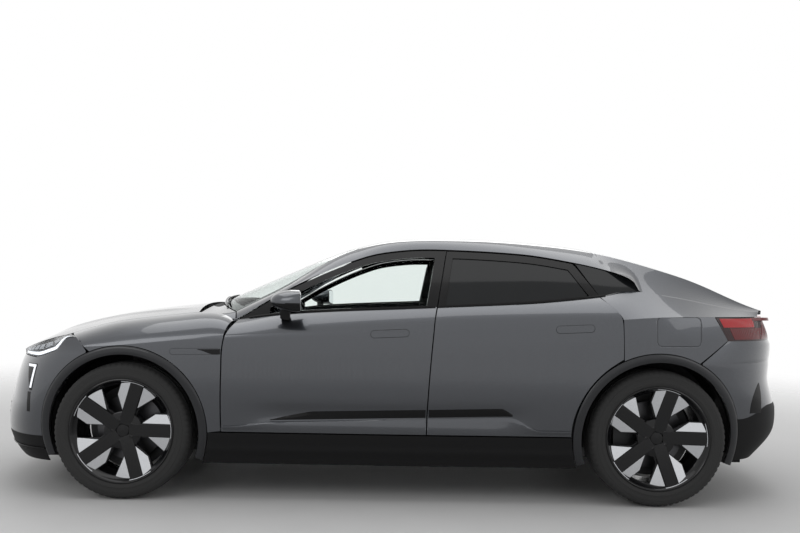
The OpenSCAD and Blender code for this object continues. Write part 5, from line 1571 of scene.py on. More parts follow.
@dataclass
class BodySide:
    """One fixed body side: quarter, shoulder, roof rail, pillar, sill and hinge arms."""

    side: Side

    def strip_x(self, i: Array) -> Array:
        """Place on the shoulder line of a column of the quarter and its strip.

        Args:
            i: number of the column.

        Returns:
            The place along the vehicle.
        """
        ahead = mix(LINES.rear_x(1040.0) + LINES.shut / 2, LINES.ra + 311, i / QUARTER_COLS)
        return np.where(i <= QUARTER_COLS, ahead,
                        mix(LINES.ra + 311, LINES.ra + 612, (i - QUARTER_COLS) / STRIP_COLS))

    def quarter_grid(self, deep: float) -> Array:
        """Grid of the wall over the rear wheel.

        Args:
            deep: depth behind the face.

        Returns:
            The grid of points.
        """
        i, q = lattice(steps(66, 0, QUARTER_COLS), steps(40))
        u = i / QUARTER_COLS
        a = np.radians(mix(115, 62.3, u))
        r = LINES.arch_edge
        xc = self.strip_x(i)
        bend = u ** 4 * (1 - np.abs(2 * q - 1))
        x = mix(LINES.ra + r * np.cos(a), xc, q) + 125 * bend - LINES.cut * u
        z = mix(LINES.hub_z + r * np.sin(a), LINES.crease_z(xc), q) - 2 * bend
        p = LINES.side_p(x, z)
        p[..., 1] += deep
        return p

    def strip_grid(self, deep: float) -> Array:
        """Grid of the shoulder above the quarter, on to the tail.

        Args:
            deep: depth behind the face.

        Returns:
            The grid of points.
        """
        i, t = lattice(steps(17 * 6, 0, QUARTER_COLS + STRIP_COLS), steps(16))
        xc, x0 = self.strip_x(i), float(self.strip_x(np.array(0.0)))
        half = LINES.shut / 2
        lead = x0 - LINES.rear_x(LINES.shoulder(x0 - 40 * t, t)[..., 2]) - half
        fade = np.maximum(1 - (xc - x0) / (LINES.tip_x - 60 - x0), 0)
        x = LINES.tail_xe(xc) - np.maximum(lead, 0) * fade
        p = LINES.quarter_top(x, t)
        p[..., 1] += deep * (1 - 0.6 * np.maximum(i - QUARTER_COLS, 0) / STRIP_COLS)
        return p

    def rail_grid(self, deep: float) -> Array:
        """Grid of the windscreen pillar, roof rail and tail flank.

        Args:
            deep: depth behind the face.

        Returns:
            The grid of points.
        """
        i, t = lattice(steps(RAIL_COLS * 5, 0, RAIL_COLS), steps(14))
        ra, fa, tip, lip = LINES.ra, LINES.fa, LINES.tip_x, LINES.lip_x
        x = np.where(i <= 14, mix(fa + 1300, ra - 440, (i - 9) / 5),
                     np.where(i <= 20, mix(ra - 440, tip, (i - 14) / 6),
                              mix(tip, lip, (i - 20) / (RAIL_COLS - 20))))
        foot = LINES.rail_low(np.where(i <= 9, mix(fa + 612, fa + 1300, i / 9), x))
        pillar = LINES.screen_p(-np.ones_like(i), np.clip(i / 9, 0, 1)) - [0, LINES.seam, 0]
        off = np.where(x < LINES.gate_x, LINES.cut, LINES.gap + 1 + 4 * ease(ra + 400, lip, x))
        edge = LINES.edge_p(x)
        edge[..., 1] -= off
        head = np.where((i <= 9)[..., None], pillar, edge)
        middle = (foot + head) / 2
        flank = LINES.hip(x, np.full_like(x, (HIP_PART + 1) / 2)) * 2 - middle
        k = mix(middle + [0, -9, 9], flank, ease(15.5, 22, i)[..., None])
        p = bow(foot, k, head, t[..., None])
        thin = deep * (1 - 0.5 * np.maximum(i - 20, 0) / 11)
        p[..., 1] += thin * (1 - 0.9 * t)
        p[..., 2] -= thin * 0.7 * t
        return p

    def drip_strip(self) -> Piece:
        """The black seal behind the gap between the roof rail and the doors' frames.

        Returns:
            The new object.
        """
        x = np.linspace(LINES.fa + 1250, LINES.ra - 330, 60)
        z = LINES.light_top(x)
        path = at(x, LINES.glass_w(x, z) - LINES.frame_t - 14, z + 4)
        return Maker.tube(f"roof_seal_{self.side.word}", self.side.turn(path), 10, 34, [BLACK_PLASTIC])

    def post(self) -> Piece:
        """The middle pillar between the doors.

        Returns:
            The new object.
        """
        z = np.linspace(LINES.sill_z + 120, LINES.height - 112, 40)
        low = LINES.side_w(LINES.mid_x(z), np.minimum(z, LINES.crease_mid)) - LINES.door_t - 24
        low = low - 50 * ease(LINES.crease_mid - 60, LINES.belt_mid, z)
        w = mix(low, LINES.glass_w(LINES.mid_x(z), z) - LINES.frame_t - 12,
                ease(LINES.belt_mid - 20, LINES.belt_mid + 60, z))
        u, zz = lattice(steps(8), z)
        ww = np.broadcast_to(w[:, None], u.shape)
        x = LINES.mid_x(zz) - 58 + 130 * u
        return Maker.panel("post", self.side, at(x, ww, zz), at(x, ww - 50, zz), [TRIM], 4)

    def frame_boxes(self) -> list[Piece]:
        """Sill, front post and hinge arms that the doors hang on.

        Returns:
            The blocks.
        """
        hw, fa, ra, mid = LINES.hw, LINES.fa, LINES.ra, LINES.belt_mid
        blocks = [((fa + 492, -(hw - 92), LINES.sill_z), (ra - 492, -hw + 205, LINES.door_bottom - 16)),
                  ((fa + 496, -hw + 96, LINES.sill_z + 60),
                   (float(LINES.front_x(700.0)) - LINES.gap - 2, -hw + 205, mid - 104)),
                   ((fa + 520, -hw + 175, mid - 160), (fa + 576, -hw + 205, mid - 100)),
                   ((fa + 552, -hw + 192, mid - 140), (fa + 577, -hw + 217, mid - 84)),
                   ((fa + 572, -hw + 194, mid - 100), (fa + 618, -hw + 217, mid - 84)),
                   ((ra - 90, -hw + 55, LINES.hub_z + LINES.arch_r + 54),
                    (ra + 60, -hw + 204, LINES.hub_z + LINES.arch_r + 84))]
        for cut, back in ((LINES.front_x, 90), (LINES.mid_x, 20)):
            x = float(cut(720.0)) + 62
            y = -(float(LINES.side_w(np.array(x), np.array(720.0))) - 14)
            for z in (600, 830):
                blocks.append(((x - 7, y, z - 20), (x + 7, y + 150, z + 20)))
                blocks.append(((x - back, y + 134, z - 20), (x + 7, y + 150, z + 20)))
        out = []
        for low, high in blocks:
            a, b = self.side.turn(np.array(low)), self.side.turn(np.array(high))
            out.append(Maker.box("frame", np.minimum(a, b), np.maximum(a, b), [PAINT], 3))
        return out

    def wheelhouse(self) -> Piece:
        """The inner arch over the rear wheel.

        Returns:
            The new object.
        """
        a = np.radians(np.linspace(-10, 118, 60))
        y0, y1 = -LINES.hw + 204, -LINES.hw + 138
        rows = []
        for r, y in ((LINES.arch_r + 28, y0), (LINES.arch_r + 28, y1)):
            rows.append(np.stack([LINES.ra - r * np.cos(a), np.full(60, y), LINES.hub_z + r * np.sin(a)],
                                 -1))
        inner = np.array(rows)
        outer = inner + 0
        centre = np.array([LINES.ra, 0, LINES.hub_z])
        out = outer - centre
        out[..., 1] = 0
        outer = outer + 46 * out / np.linalg.norm(out, axis=-1)[..., None]
        return Maker.panel("arch", self.side, outer, inner, [STEEL], 2)

    def quarter_pane(self) -> Piece:
        """The small fixed pane in front of the window tip.

        Returns:
            The new object.
        """
        u, v = lattice(steps(30), steps(12))
        half, tip = LINES.shut / 2, LINES.tip_x
        xa = mix(LINES.rear_x(LINES.belt_z(LINES.ra - 290.0)) + half, tip - 6, u)
        xb = mix(LINES.rear_x(1360.0) + half, tip - 10, u)
        za, zb = LINES.quarter_top(xa, np.ones_like(xa))[..., 2] - 4, LINES.rail_low(xb)[..., 2] + 4
        x, z = mix(xa, xb, v), mix(za, zb, v)
        return Maker.panel("pane", self.side, at(x, LINES.glass_w(x, z) - 7, z),
                           at(x, LINES.glass_w(x, z) - 12, z), [DARK_GLASS], 0.5)

    def build(self) -> None:
        """Builds and dresses the side."""
        quarter = Maker.panel("quarter", self.side, self.quarter_grid(0), self.quarter_grid(LINES.wall_t),
                              [PAINT, TRIM], 0.9)
        if self.side is Side.LEFT:
            self.charge_port(quarter)
        parts = [quarter]
        for grid in (self.strip_grid, self.rail_grid):
            parts.append(Maker.panel("wall", self.side, grid(0), grid(LINES.wall_t), [PAINT, TRIM], 0.9))
        parts += [self.post(), self.wheelhouse()] + self.frame_boxes()
        place(Maker.join(f"side_panels_{self.side.word}", parts), "body", "grey_paint",
              f"body_side_{self.side.word}")
        place(self.drip_strip(), "body", "black_plastic")

    def charge_port(self, quarter: Piece) -> None:
        """Cuts the pocket of the charge flap into the quarter and fits the socket and the flap.

        Args:
            quarter: the wall that the pocket is cut into.
        """
        x, z = LINES.ra + 101, LINES.crease_rear - 78
        plate = SidePatch(x, z, 246, 160, 26)
        edge = plate.outline(2.2)
        rings = np.array([np.stack([x + edge[:, 0], np.full(len(edge), y), z + edge[:, 1]], -1)
                          for y in (-LINES.hw - 30, -LINES.hw + 50)])
        Maker.carve(quarter, Maker.loft("cutter", rings, [BLACK_PLASTIC]))
        a = np.linspace(0, 2 * math.pi, 40, endpoint=False)
        radii = [(44, 48), (42, 18), (33, 16), (33, 34), (10, 36), (8, 26), (0.5, 26)]
        socket = np.array([np.stack([x + 10 + r * np.cos(a), np.full(40, -LINES.hw + y), z + r * np.sin(a)],
                                    -1) for r, y in radii])
        place(Maker.loft("charge_socket", socket, [BLACK_PLASTIC], bevel=1), "body", "black_plastic")
        door = plate.build("flap_panel", Side.LEFT, [PAINT], 0, 6)
        pin_x, pin_z = x - 246 / 2 + 36, z - 25
        pin_w = float(LINES.side_w(np.array(pin_x), np.array(pin_z))) - 14
        sleeve = np.array([np.stack([pin_x + 8.5 * np.cos(a), -pin_w + 8.5 * np.sin(a),
                                     np.full(40, pin_z + h)], -1) for h in (-24, 24)])
        knuckle = Maker.loft("sleeve", sleeve, [STEEL], bevel=1)
        place(Maker.join("charge_flap_panel", [door, knuckle]), "flap", "grey_paint", "charge_flap")


@dataclass
class TopGlass:
    """Windscreen, roof glass, quarter panes, headliner and wipers."""

    def screen_grid(self, deep: float, inset: float) -> Array:
        """Grid of the windscreen.

        Args:
            deep: depth behind the face.
            inset: width set in from the edges.

        Returns:
            The grid of points.
        """
        u, v = lattice(steps(60, -1, 1) * (1 - inset / 700), steps(40))
        back = np.where(v == 1, LINES.cut, 0)[..., None] * np.array([1.0, 0, 0])
        return LINES.screen_p(u, v) - deep * SCREEN_WAY - back

    def roof_grid(self, deep: float, inset: float, stop: float = 1.0) -> Array:
        """Grid of the roof.

        Args:
            deep: depth behind the face.
            inset: width set in from the edges.
            stop: share of the length where it ends.

        Returns:
            The grid of points.
        """
        u, v = lattice(steps(50, -1, 1), steps(60, 0, stop))
        x0 = LINES.header_x + LINES.seam + 95 * u * u
        x = mix(x0, LINES.gate_x - inset, v)
        y = u * (LINES.roof_edge(x) - inset)
        return np.stack([x, y, LINES.top_z(x, y) - deep], -1)

    @staticmethod
    def band(u: Array, v: Array) -> Piece:
        """One strip of the border, just inside the glass."""
        base = LINES.screen_p(u, v)
        return Maker.shell("band", base - 5.5 * SCREEN_WAY, base - 7 * SCREEN_WAY, [GLOSS_BLACK], 0)

    def frit(self) -> Piece:
        """The black border printed round the windscreen.

        Returns:
            The new object.
        """
        strips = []
        for side in (-1, 1):
            u, v = lattice(side * np.linspace(0.93, 0.99, 4), steps(30, 0.0, 0.99))
            strips.append(self.band(u, v))
        for v0, v1 in ((0.0, 0.07), (0.94, 0.985)):
            u, v = lattice(np.linspace(-0.99, 0.99, 50), steps(4, v0, v1))
            strips.append(self.band(u, v))
        return Maker.join("screen_border", strips)

    def wiper(self, y0: float, y1: float) -> Piece:
        """One wiper arm with its blade, laid along the windscreen's foot.

        Args:
            y0: place of the tip across the vehicle.
            y1: place of the foot across the vehicle.

        Returns:
            The new object.
        """
        u = np.linspace(y0, y1, 24) / 765
        lean = np.linspace(0.02, 0.075, 24)
        blade = LINES.screen_p(u, lean) + np.array([-4, 0, 7])
        rise = np.linspace(-12, 4, 16)[:, None] * np.array([0, 0, 1])
        arm = LINES.screen_p(u[:16], lean[:16] - 0.012) + np.array([-10, 0, 10]) + rise
        return Maker.join("wiper",
                          [Maker.tube("blade", blade, 9, 14, [BLACK_PLASTIC]),
                           Maker.tube("arm", arm, 14, 9, [GLOSS_BLACK])])

    def build(self) -> None:
        """Builds and dresses the glass above the belt."""
        screen = Maker.shell("screen_glass", self.screen_grid(0, 1.5), self.screen_grid(5, 5), [TINT_GLASS],
                             0.5)
        place(screen, "body", "clear_glass", "windscreen")
        place(self.frit(), "body", "black_plastic")
        roof = Maker.shell("roof_panel", self.roof_grid(0, 3), self.roof_grid(6, 6), [DARK_GLASS], 1.0)
        place(roof, "body", "dark_glass", "roof_glass")
        lining = Maker.shell("headliner", self.roof_grid(52, 60, 0.97), self.roof_grid(58, 60, 0.97),
                             [LINING], 1.0)
        place(lining, "body", "seat_cloth")
        panes = [BodySide(side).quarter_pane() for side in Side]
        place(Maker.join("quarter_glass", panes), "body", "dark_glass", "quarter_panes")
        wipers = [self.wiper(-560, 40), self.wiper(-20, 560)]
        place(Maker.join("wipers", wipers), "body", "black_plastic")


@dataclass
class RearEnd:
    """Tailgate, rear bumper, lower panel, lamps and light bar."""

    lamp_end: float = 0.54
    lamp_low_end: float = 0.594
    gate_side: Curve = field(default_factory=lambda: Curve((800, 552), (829, 572), (897, 586), (934, 597),
                                                           (945, 604), (1120, 604)))

    @staticmethod
    def split(t: Array) -> Array:
        """Height where the painted bumper meets the black lower panel."""
        return 490 + 70 * ease(0.02, 0.36, t)

    def tail_grid(self, upper: bool, deep: float, rows: int) -> Array:
        """Grid of the painted bumper, or of the black panel below it.

        Args:
            upper: whether it is the painted bumper.
            deep: depth behind the face.
            rows: rows of points.

        Returns:
            The grid of points.
        """
        u, v = lattice(steps(120, -1, 1), steps(rows))
        t = 1 - np.abs(u)
        z = mix(self.split(t), LINES.tail_top(t), v) if upper else mix(250, self.split(t) - 0.4, v)
        p = LINES.tail_p(t, z)
        aim = np.stack([LINES.ra + 150 - p[..., 0], -p[..., 1], 0 * z], -1)
        p = p + deep * aim / np.linalg.norm(aim, axis=-1)[..., None]
        p[..., 1] *= np.where(u > 0, -1, 1)
        return p

    def gate_grid(self, deep: float, inset: float) -> Array:
        """Grid of the tailgate's top.

        Args:
            deep: depth behind the face.
            inset: width set in from the edges.

        Returns:
            The grid of points.
        """
        u, v = lattice(steps(60, -1, 1), steps(70))
        x = mix(LINES.gate_x + LINES.shut + inset, LINES.lip_x, v)
        y = u * (LINES.roof_edge(x) + 1 - inset)
        return np.stack([x - GATE_BOW * y * y * ease(LINES.ra + 200, LINES.lip_x, x), y,
                         LINES.top_z(x, y) - deep], -1)

    def face_grid(self, deep: float, inset: float) -> Array:
        """Grid of the tailgate's rear face.

        Args:
            deep: depth behind the face.
            inset: width set in from the edges.

        Returns:
            The grid of points.
        """
        u, v = lattice(steps(60, -1, 1), steps(50))
        z = mix(GATE_LOW_Z + inset, LINES.lip_z - 8, v)
        y = u * (self.gate_side(z) - inset)
        x = LINES.tail_line(z) - FACE_BOW * y * y - deep
        return np.stack([x, y, z - 26 * (y / 700) ** 2 * ease(1040, 1110, z)], -1)

    def lamp_top(self, s: Array) -> Array:
        """Upper edge of the left lamp.

        Args:
            s: share of the way round the corner.

        Returns:
            The points.
        """
        ra = LINES.ra
        first = LINES.crease_p(mix(ra + 315, ra + 612, np.minimum(s * 2, 1)))
        q = np.maximum(s * 2 - 1, 0)
        a = LINES.crease_p(np.array(ra + 612.0))
        second = at(mix(a[0], LINES.lip_x - GATE_BOW * 612 ** 2, np.sqrt(q)), mix(-a[1], 612, q),
                    mix(a[2], LINES.crease_rear + 6, q))
        out = np.where((s < 0.5)[..., None], first, second)
        out[..., 2] -= LINES.cut + 1
        return out

    def lamp_grid(self, deep: float, s0: float = 0.0, s1: float = 1.0, v0: float = 0.0, v1: float = 1.0,
                  ribs: float = 0.0) -> Array:
        """Grid of the left lamp, s round the corner and v up, with upright ribs.

        Args:
            deep: depth behind the face.
            s0: start along the lamp, 0 to 1.
            s1: end along the lamp, 0 to 1.
            v0: lower edge, 0 to 1.
            v1: upper edge, 0 to 1.
            ribs: depth of the ribs.

        Returns:
            The grid of points.
        """
        s, v = lattice(steps(120, s0, s1), steps(14, v0, v1))
        a = LINES.tail_p(s * self.lamp_low_end, 934.4 + 0 * s)
        b = self.lamp_top(s)
        k = mix(a, b, 0.5) + 22 * s[..., None] * np.array([1.0, 0, 0]) + np.array([0, -4.0, 0])
        p = bow(a, k, b, v[..., None])
        turn = np.radians(90 * s)
        inward = np.stack([-np.sin(turn), np.cos(turn), 0 * s], -1)
        wave = ribs * np.abs(np.sin(s * 40 * math.pi)) * np.sin(np.pi * np.clip(v, 0, 1))
        return p + (deep + wave)[..., None] * inward

    def lamps(self) -> None:
        """The two lamps: smoked body, ribbed red lens and bright upper line."""
        lenses, guides = [], []
        for side in Side:
            lenses.append(Maker.panel("lens", side, self.lamp_grid(0, ribs=2.2), self.lamp_grid(40),
                                      [SMOKED], 0.6))
            for s0, s1, v0, v1, finish in ((0.03, 0.42, 0.58, 0.96, RED_GLOW),
                                           (0.09, 0.52, 0.06, 0.55, RED_LENS),
                                           (0.54, 0.98, 0.05, 0.95, RED_LENS)):
                guides.append(Maker.panel("cell", side, self.lamp_grid(-1.4, s0, s1, v0, v1, 2.2),
                                          self.lamp_grid(3, s0, s1, v0, v1), [finish], 0.6))
            blade = self.lamp_grid(0, 0.40, 1.0, 0.86, 0.99)
            out = (6 + 34 * ease(0.40, 0.62, steps(120, 0.40, 1.0)))[None, :, None] * np.array([1.0, 0, 0])
            guides.append(Maker.panel("blade", side, blade + out, blade - [4, 0, 0], [RED_LENS], 2))
        place(Maker.join("tail_lamp_lenses", lenses), "body", "red_lens", "tail_lamps")
        place(Maker.join("tail_lamp_guides", guides), "body", "red_lens")

    def light_bar(self) -> None:
        """The slim light bar across the tailgate, under its lip."""
        u, v = lattice(steps(80, -1, 1), steps(6))
        z = mix(1046, 1074, v)
        y = u * 600
        x = LINES.tail_line(z) - FACE_BOW * y * y
        sag = -26 * (y / 700) ** 2 * ease(1040, 1110, z)
        out = 36 + 4 * np.sin(np.pi * np.clip(v, 0.08, 0.92))
        face = np.stack([x + out, y, z + sag], -1)
        back = np.stack([x - 6, y, z + sag], -1)
        place(Maker.shell("light_bar", face, back, [RED_GLOW], 1.5), "tailgate_lid", "red_lens")

    def vents(self) -> None:
        """The upright slots in the bumper's corners."""
        def front(z: float) -> float:
            """Front edge of a slot."""
            return LINES.tail_x + mix(-368, -306, max((z - 520) / 172, 0.0) ** 2.2)

        def back(z: float) -> float:
            """Rear edge of a slot."""
            return LINES.tail_x + mix(-284, -300, max((z - 520) / 172, 0.0) ** 3)

        slots = [EndPatch(front, back, 520, 691, False, 10, 30).build("slot", side, 1.0, 20, [GLOSS_BLACK])
                 for side in Side]
        place(Maker.join("bumper_slots", slots), "body", "black_plastic")

    def fins(self) -> None:
        """The upright fins of the lower panel."""
        fins = []
        for y in (-420, -210, 0, 210, 420):
            t = 1 - abs(y) / 900
            z = np.linspace(300, 500, 14)
            row = LINES.tail_p(np.full(14, t), z)
            row[:, 1] = y
            fins.append(Maker.tube("fin", row + [2, 0, 0], 9, 26, [BLACK_PLASTIC], 12, (1, 0, 0)))
        place(Maker.join("lower_fins", fins), "body", "black_plastic")

    def backing(self) -> None:
        """The dark panel behind the lamps and the tailgate's corners."""
        parts = []
        for side in Side:
            u, v = lattice(steps(20), steps(12))
            s = mix(0.5, 1.12, u)
            a = LINES.tail_p(s * self.lamp_end, np.full_like(s, 800.0)) + [-46, 0, 0]
            b = LINES.tail_p(s * self.lamp_end, np.full_like(s, 934.0)) + [-86, 0, 138]
            p = mix(a, b, v[..., None])
            parts.append(Maker.panel("panel", side, p, p + [-8, 0, 0], [BLACK_PLASTIC], 0))
        place(Maker.join("rear_backing", parts), "body", "black_plastic")

    def build(self) -> None:
        """Builds and dresses the rear end."""
        top = Maker.shell("top", self.gate_grid(0, 0), self.gate_grid(LINES.lid_t, 16), [PAINT, TRIM], 2)
        for quad in top.data.polygons:
            if quad.center.x > (LINES.lip_x - 240) * MM and quad.normal.z > -0.5:
                quad.material_index = 0
        face = Maker.shell("face", self.face_grid(0, 0), self.face_grid(40, 10), [PAINT, TRIM], 2.5)
        u, v = lattice(steps(16, 0.82, 1.0), steps(4))
        y = -u * (LINES.roof_edge(LINES.lip_x) + 1)
        x = LINES.lip_x - GATE_BOW * y * y
        ends = []
        for side in Side:
            z = mix(LINES.top_z(np.full_like(y, LINES.lip_x), y) - 3, 1077, v)
            row = np.stack([x - 4 - 10 * v, y, z], -1)
            ends.append(Maker.panel("lip_end", side, row, row - [8, 0, 0], [PAINT], 1))
        place(Maker.join("tailgate_panels", [top, face, *ends]), "tailgate_lid", "grey_paint", "tailgate")
        bumper = Maker.shell("tail_panel", self.tail_grid(True, 0, 60), self.tail_grid(True, 4, 60),
                             [PAINT], 0.8)
        place(bumper, "body", "grey_paint", "rear_bumper")
        low = Maker.shell("tail_lower", self.tail_grid(False, 0, 40), self.tail_grid(False, 4, 40),
                          [BLACK_PLASTIC], 0.8)
        place(low, "body", "black_plastic", "rear_diffuser")
        self.lamps()
        self.light_bar()
        self.vents()
        self.fins()
        self.backing()


@dataclass
class Trims:
    """Arch trims and rocker covers."""

    def arch(self, x0: float) -> Array:
        """Rings of one arch trim, outer face first.

        Args:
            x0: place of the wheel's middle.

        Returns:
            The rings of points.
        """
        a = np.radians(np.linspace(-20, 200, 120))
        rows = [(LINES.arch_r, -22), (LINES.arch_r, 0.5), (LINES.arch_r + 5, 3.5), (LINES.arch_r + 18, 6.5),
                (LINES.arch_r + 34, 6.8), (LINES.band_r - 3, 5.5), (LINES.band_r, 3), (LINES.band_r, -19)]
        grid = []
        for r, lift in rows:
            x, z = x0 + r * np.cos(a), LINES.hub_z + r * np.sin(a)
            grid.append(LINES.side_p(x, z, lift))
        return np.array(grid).transpose(1, 0, 2)

    def rocker(self) -> tuple[Array, Array]:
        """Outer and inner grids of the left rocker cover.

        Returns:
            The outer grid and the inner grid.
        """
        u, v = lattice(steps(60), steps(16))
        z = mix(LINES.sill_z, LINES.door_bottom - LINES.gap, v)
        q = np.sqrt(LINES.arch_edge ** 2 - (z - LINES.hub_z) ** 2)
        x = mix(LINES.fa + q, LINES.ra - q, u)
        ledge = 6 * (1 - v) + 5 * np.exp(-((v - 0.45) / 0.12) ** 2)
        return at(x, LINES.side_w(x, z) + ledge, z), at(x, LINES.hw - 92 + LINES.seam + 0 * x, z)

    def build(self) -> None:
        """Builds and dresses the trims."""
        # The arch bands take the darker copy of the body paint, as painted shade.
        arches = [Maker.loft("arch", side.turn(self.arch(x)), [SHADED_ARCH_PAINT]) for side in Side
                  for x in (LINES.fa, LINES.ra)]
        place(Maker.join("arch_bands", arches), "body", "grey_paint", "arch_trims")
        outer, inner = self.rocker()
        covers = [Maker.panel("cover", side, outer, inner, [BLACK_PLASTIC], 3) for side in Side]
        place(Maker.join("rocker_panels", covers), "body", "black_plastic", "rocker_covers")


@dataclass
class Wheel:
    """A wheel with five machined spoke groups, its tyre and its brake disc."""

    side: Side
    front: bool
    groups: int = 5
    disc_r: float = 190

    @property
    def word(self) -> str:
        """Place of the wheel in names."""
        return f"{'front' if self.front else 'rear'}_{self.side.word}"

    def put(self, local: Array) -> Array:
        """Points of the wheel, with its axis along the third number, at its place.

        Args:
            local: points in the wheel's own frame.

        Returns:
            The points at their place.
        """
        x0 = LINES.fa if self.front else LINES.ra
        p = np.stack([x0 + local[..., 0], -LINES.wheel_y - local[..., 2], LINES.hub_z + local[..., 1]], -1)
        return self.side.turn(p)

    def turned(self, name: str, profile: Sequence[tuple[float, float]], finishes: Sequence[Finish],
               count: int = 120, closed: bool = True, bevel: float = 0.0) -> Piece:
        """A turned body from [radius, height] pairs.

        Args:
            name: the piece's name.
            profile: radius and height of each corner.
            finishes: its finishes.
            count: steps round the axis.
            closed: whether the profile closes on itself.
            bevel: width of its rounded edges.

        Returns:
            The new object.
        """
        a = np.linspace(0, 2 * math.pi, count, endpoint=False)
        ring = np.array(profile)
        local = np.stack([ring[None, :, 0] * np.cos(a)[:, None], ring[None, :, 0] * np.sin(a)[:, None],
                          np.broadcast_to(ring[None, :, 1], (count, len(ring)))], -1)
        points = self.put(local).reshape(-1, 3)
        m = len(ring)
        faces = []
        for j in range(count):
            for i in range(m if closed else m - 1):
                k, n = (i + 1) % m, (j + 1) % count
                faces.append((j * m + i, j * m + k, n * m + k, n * m + i))
        if Maker.volume(points, faces) < 0:
            faces = [f[::-1] for f in faces]
        return Maker.mesh(name, points, faces, finishes, None, bevel)

    @staticmethod
    def dish(r: Array) -> Array:
        """Height of the black faces above the wheel's middle plane."""
        return np.interp(r, [0, 60, 110, LINES.rim_r - 18], [96, 96, 93, 113])

    def plate(self, name: str, outline: Sequence[tuple[float, float]], height: Array, deep: float,
              angle: float, finishes: Sequence[Finish], bevel: float) -> Piece:
        """A spoke plate from an outline round the hub.

        Args:
            name: the piece's name.
            outline: corners as [along the spoke, across it].
            height: height of each corner.
            deep: the plate's depth.
            angle: turn of the spoke group.
            finishes: its finishes.
            bevel: width of its rounded edges.

        Returns:
            The new object.
        """
        flat = np.array(outline, float)
        c, s = math.cos(angle), math.sin(angle)
        x, y = flat[:, 0] * c - flat[:, 1] * s, flat[:, 0] * s + flat[:, 1] * c
        rings = np.array([self.put(np.stack([x, y, h], -1)) for h in (height, height - deep)])
        return Maker.loft(name, rings, finishes, bevel=bevel)

    def facet(self, outline: Sequence[tuple[float, float]], lean: float, angle: float) -> Piece:
        """A machined facet that rises to the rim and leans away from its bar.

        Args:
            outline: corners as [along the spoke, across it].
            lean: rise across the facet.
            angle: turn of the spoke group.

        Returns:
            The new object.
        """
        flat = np.array(outline, float)
        along, across = flat[:, 0] - flat[0, 0], flat[:, 1] - flat[0, 1]
        return self.plate("facet", outline, 89 + 0.121 * along + lean * across, 30, angle, [ALLOY], 1.2)

    def spokes(self) -> list[Piece]:
        """The spoke groups: a black bar with a machined facet on either side and a bright end line.

        Returns:
            The plates and lines.
        """
        out = []
        r = LINES.rim_r
        bar = np.array([(34, -34), (60, -34), (110, -34), (190, -34), (r - 14, -34), (r - 14, 38),
                        (190, 38), (110, 38), (60, 38), (34, 38)], float)
        web = np.array([(60, 42), (104, 46), (182, 97), (r - 30, 97), (r - 10, 40), (r - 10, -36),
                        (r - 44, -128), (138, -42), (60, -42)], float)
        for n in range(self.groups):
            a = 2 * math.pi * n / self.groups
            out.append(self.plate("bar", bar, self.dish(np.hypot(bar[:, 0], bar[:, 1])), 40, a,
                                  [BLACK_ALLOY], 2.0))
            out.append(self.facet([(107, 40), (182, 92), (r - 26, 92), (r - 15, 40)], -0.122, a))
            out.append(self.facet([(142, -36), (r - 16, -36), (r - 49, -122)], 0.087, a))
            out.append(self.plate("web", web, self.dish(np.hypot(web[:, 0], web[:, 1])) - 20, 24, a,
                                  [BLACK_ALLOY], 2.0))
            t = np.radians(np.linspace(-8, 19, 12)) + a
            arcs = [np.stack([q * np.cos(t), q * np.sin(t), np.full(12, h)], -1) for q,
                    h in ((r - 16, 110), (r - 16, 115.5), (r - 11.5, 116.5), (r - 11.5, 110))]
            out.append(Maker.loft("line", self.put(np.array(arcs)).transpose(1, 0, 2), [ALLOY]))
        return out

    def rim(self) -> list[Piece]:
        """Barrel, polished ring, hub, cap, bolts and brake disc.

        Returns:
            The turned pieces and bolts.
        """
        r, w = LINES.rim_r, LINES.tyre_w / 2
        barrel = [(r - 30, -w + 22), (r, -w + 14), (r, -w + 26), (r - 14, -w + 34), (r - 24, 0),
                  (r - 14, w - 30), (r, w - 22), (r, w - 9), (r - 5, w - 7), (r - 10, w - 10),
                  (r - 16, w - 22), (r - 34, w - 40), (r - 38, 0)]
        parts = [self.turned("barrel", barrel, [BLACK_ALLOY])]
        hub = [(0.5, 40), (70, 40), (104, 62), (106, 88), (96, 92), (60, 95), (47, 95), (45, 89), (37, 88),
               (0.5, 88)]
        parts.append(self.turned("hub", hub, [BLACK_ALLOY], 80))
        cap = [(0.5, 84), (36, 84), (36, 92), (33, 95), (0.5, 96.5)]
        parts.append(self.turned("cap", cap, [BLACK_ALLOY], 48))
        for n in range(self.groups):
            a = 2 * math.pi * (n + 0.5) / self.groups
            t = np.linspace(0, 2 * math.pi, 6, endpoint=False)
            rows = [np.stack([60 * math.cos(a) + q * np.cos(t), 60 * math.sin(a) + q * np.sin(t),
                              np.full(6, h)], -1) for q, h in ((9, 88), (9, 96), (6.5, 98))]
            parts.append(Maker.loft("bolt", self.put(np.array(rows)), [BLACK_ALLOY], bevel=0.8))
        neck = [(0.5, -60), (72, -60), (72, 48), (0.5, 48)]
        parts.append(self.turned("neck", neck, [STEEL], 48))
        disc = [(70, -62), (self.disc_r, -62), (self.disc_r, -53), (150, -52), (150, -46),
                (self.disc_r, -45), (self.disc_r, -36), (92, -36), (88, -24), (70, -24)]
        parts.append(self.turned("disc", disc, [DISC], 96))
        return parts

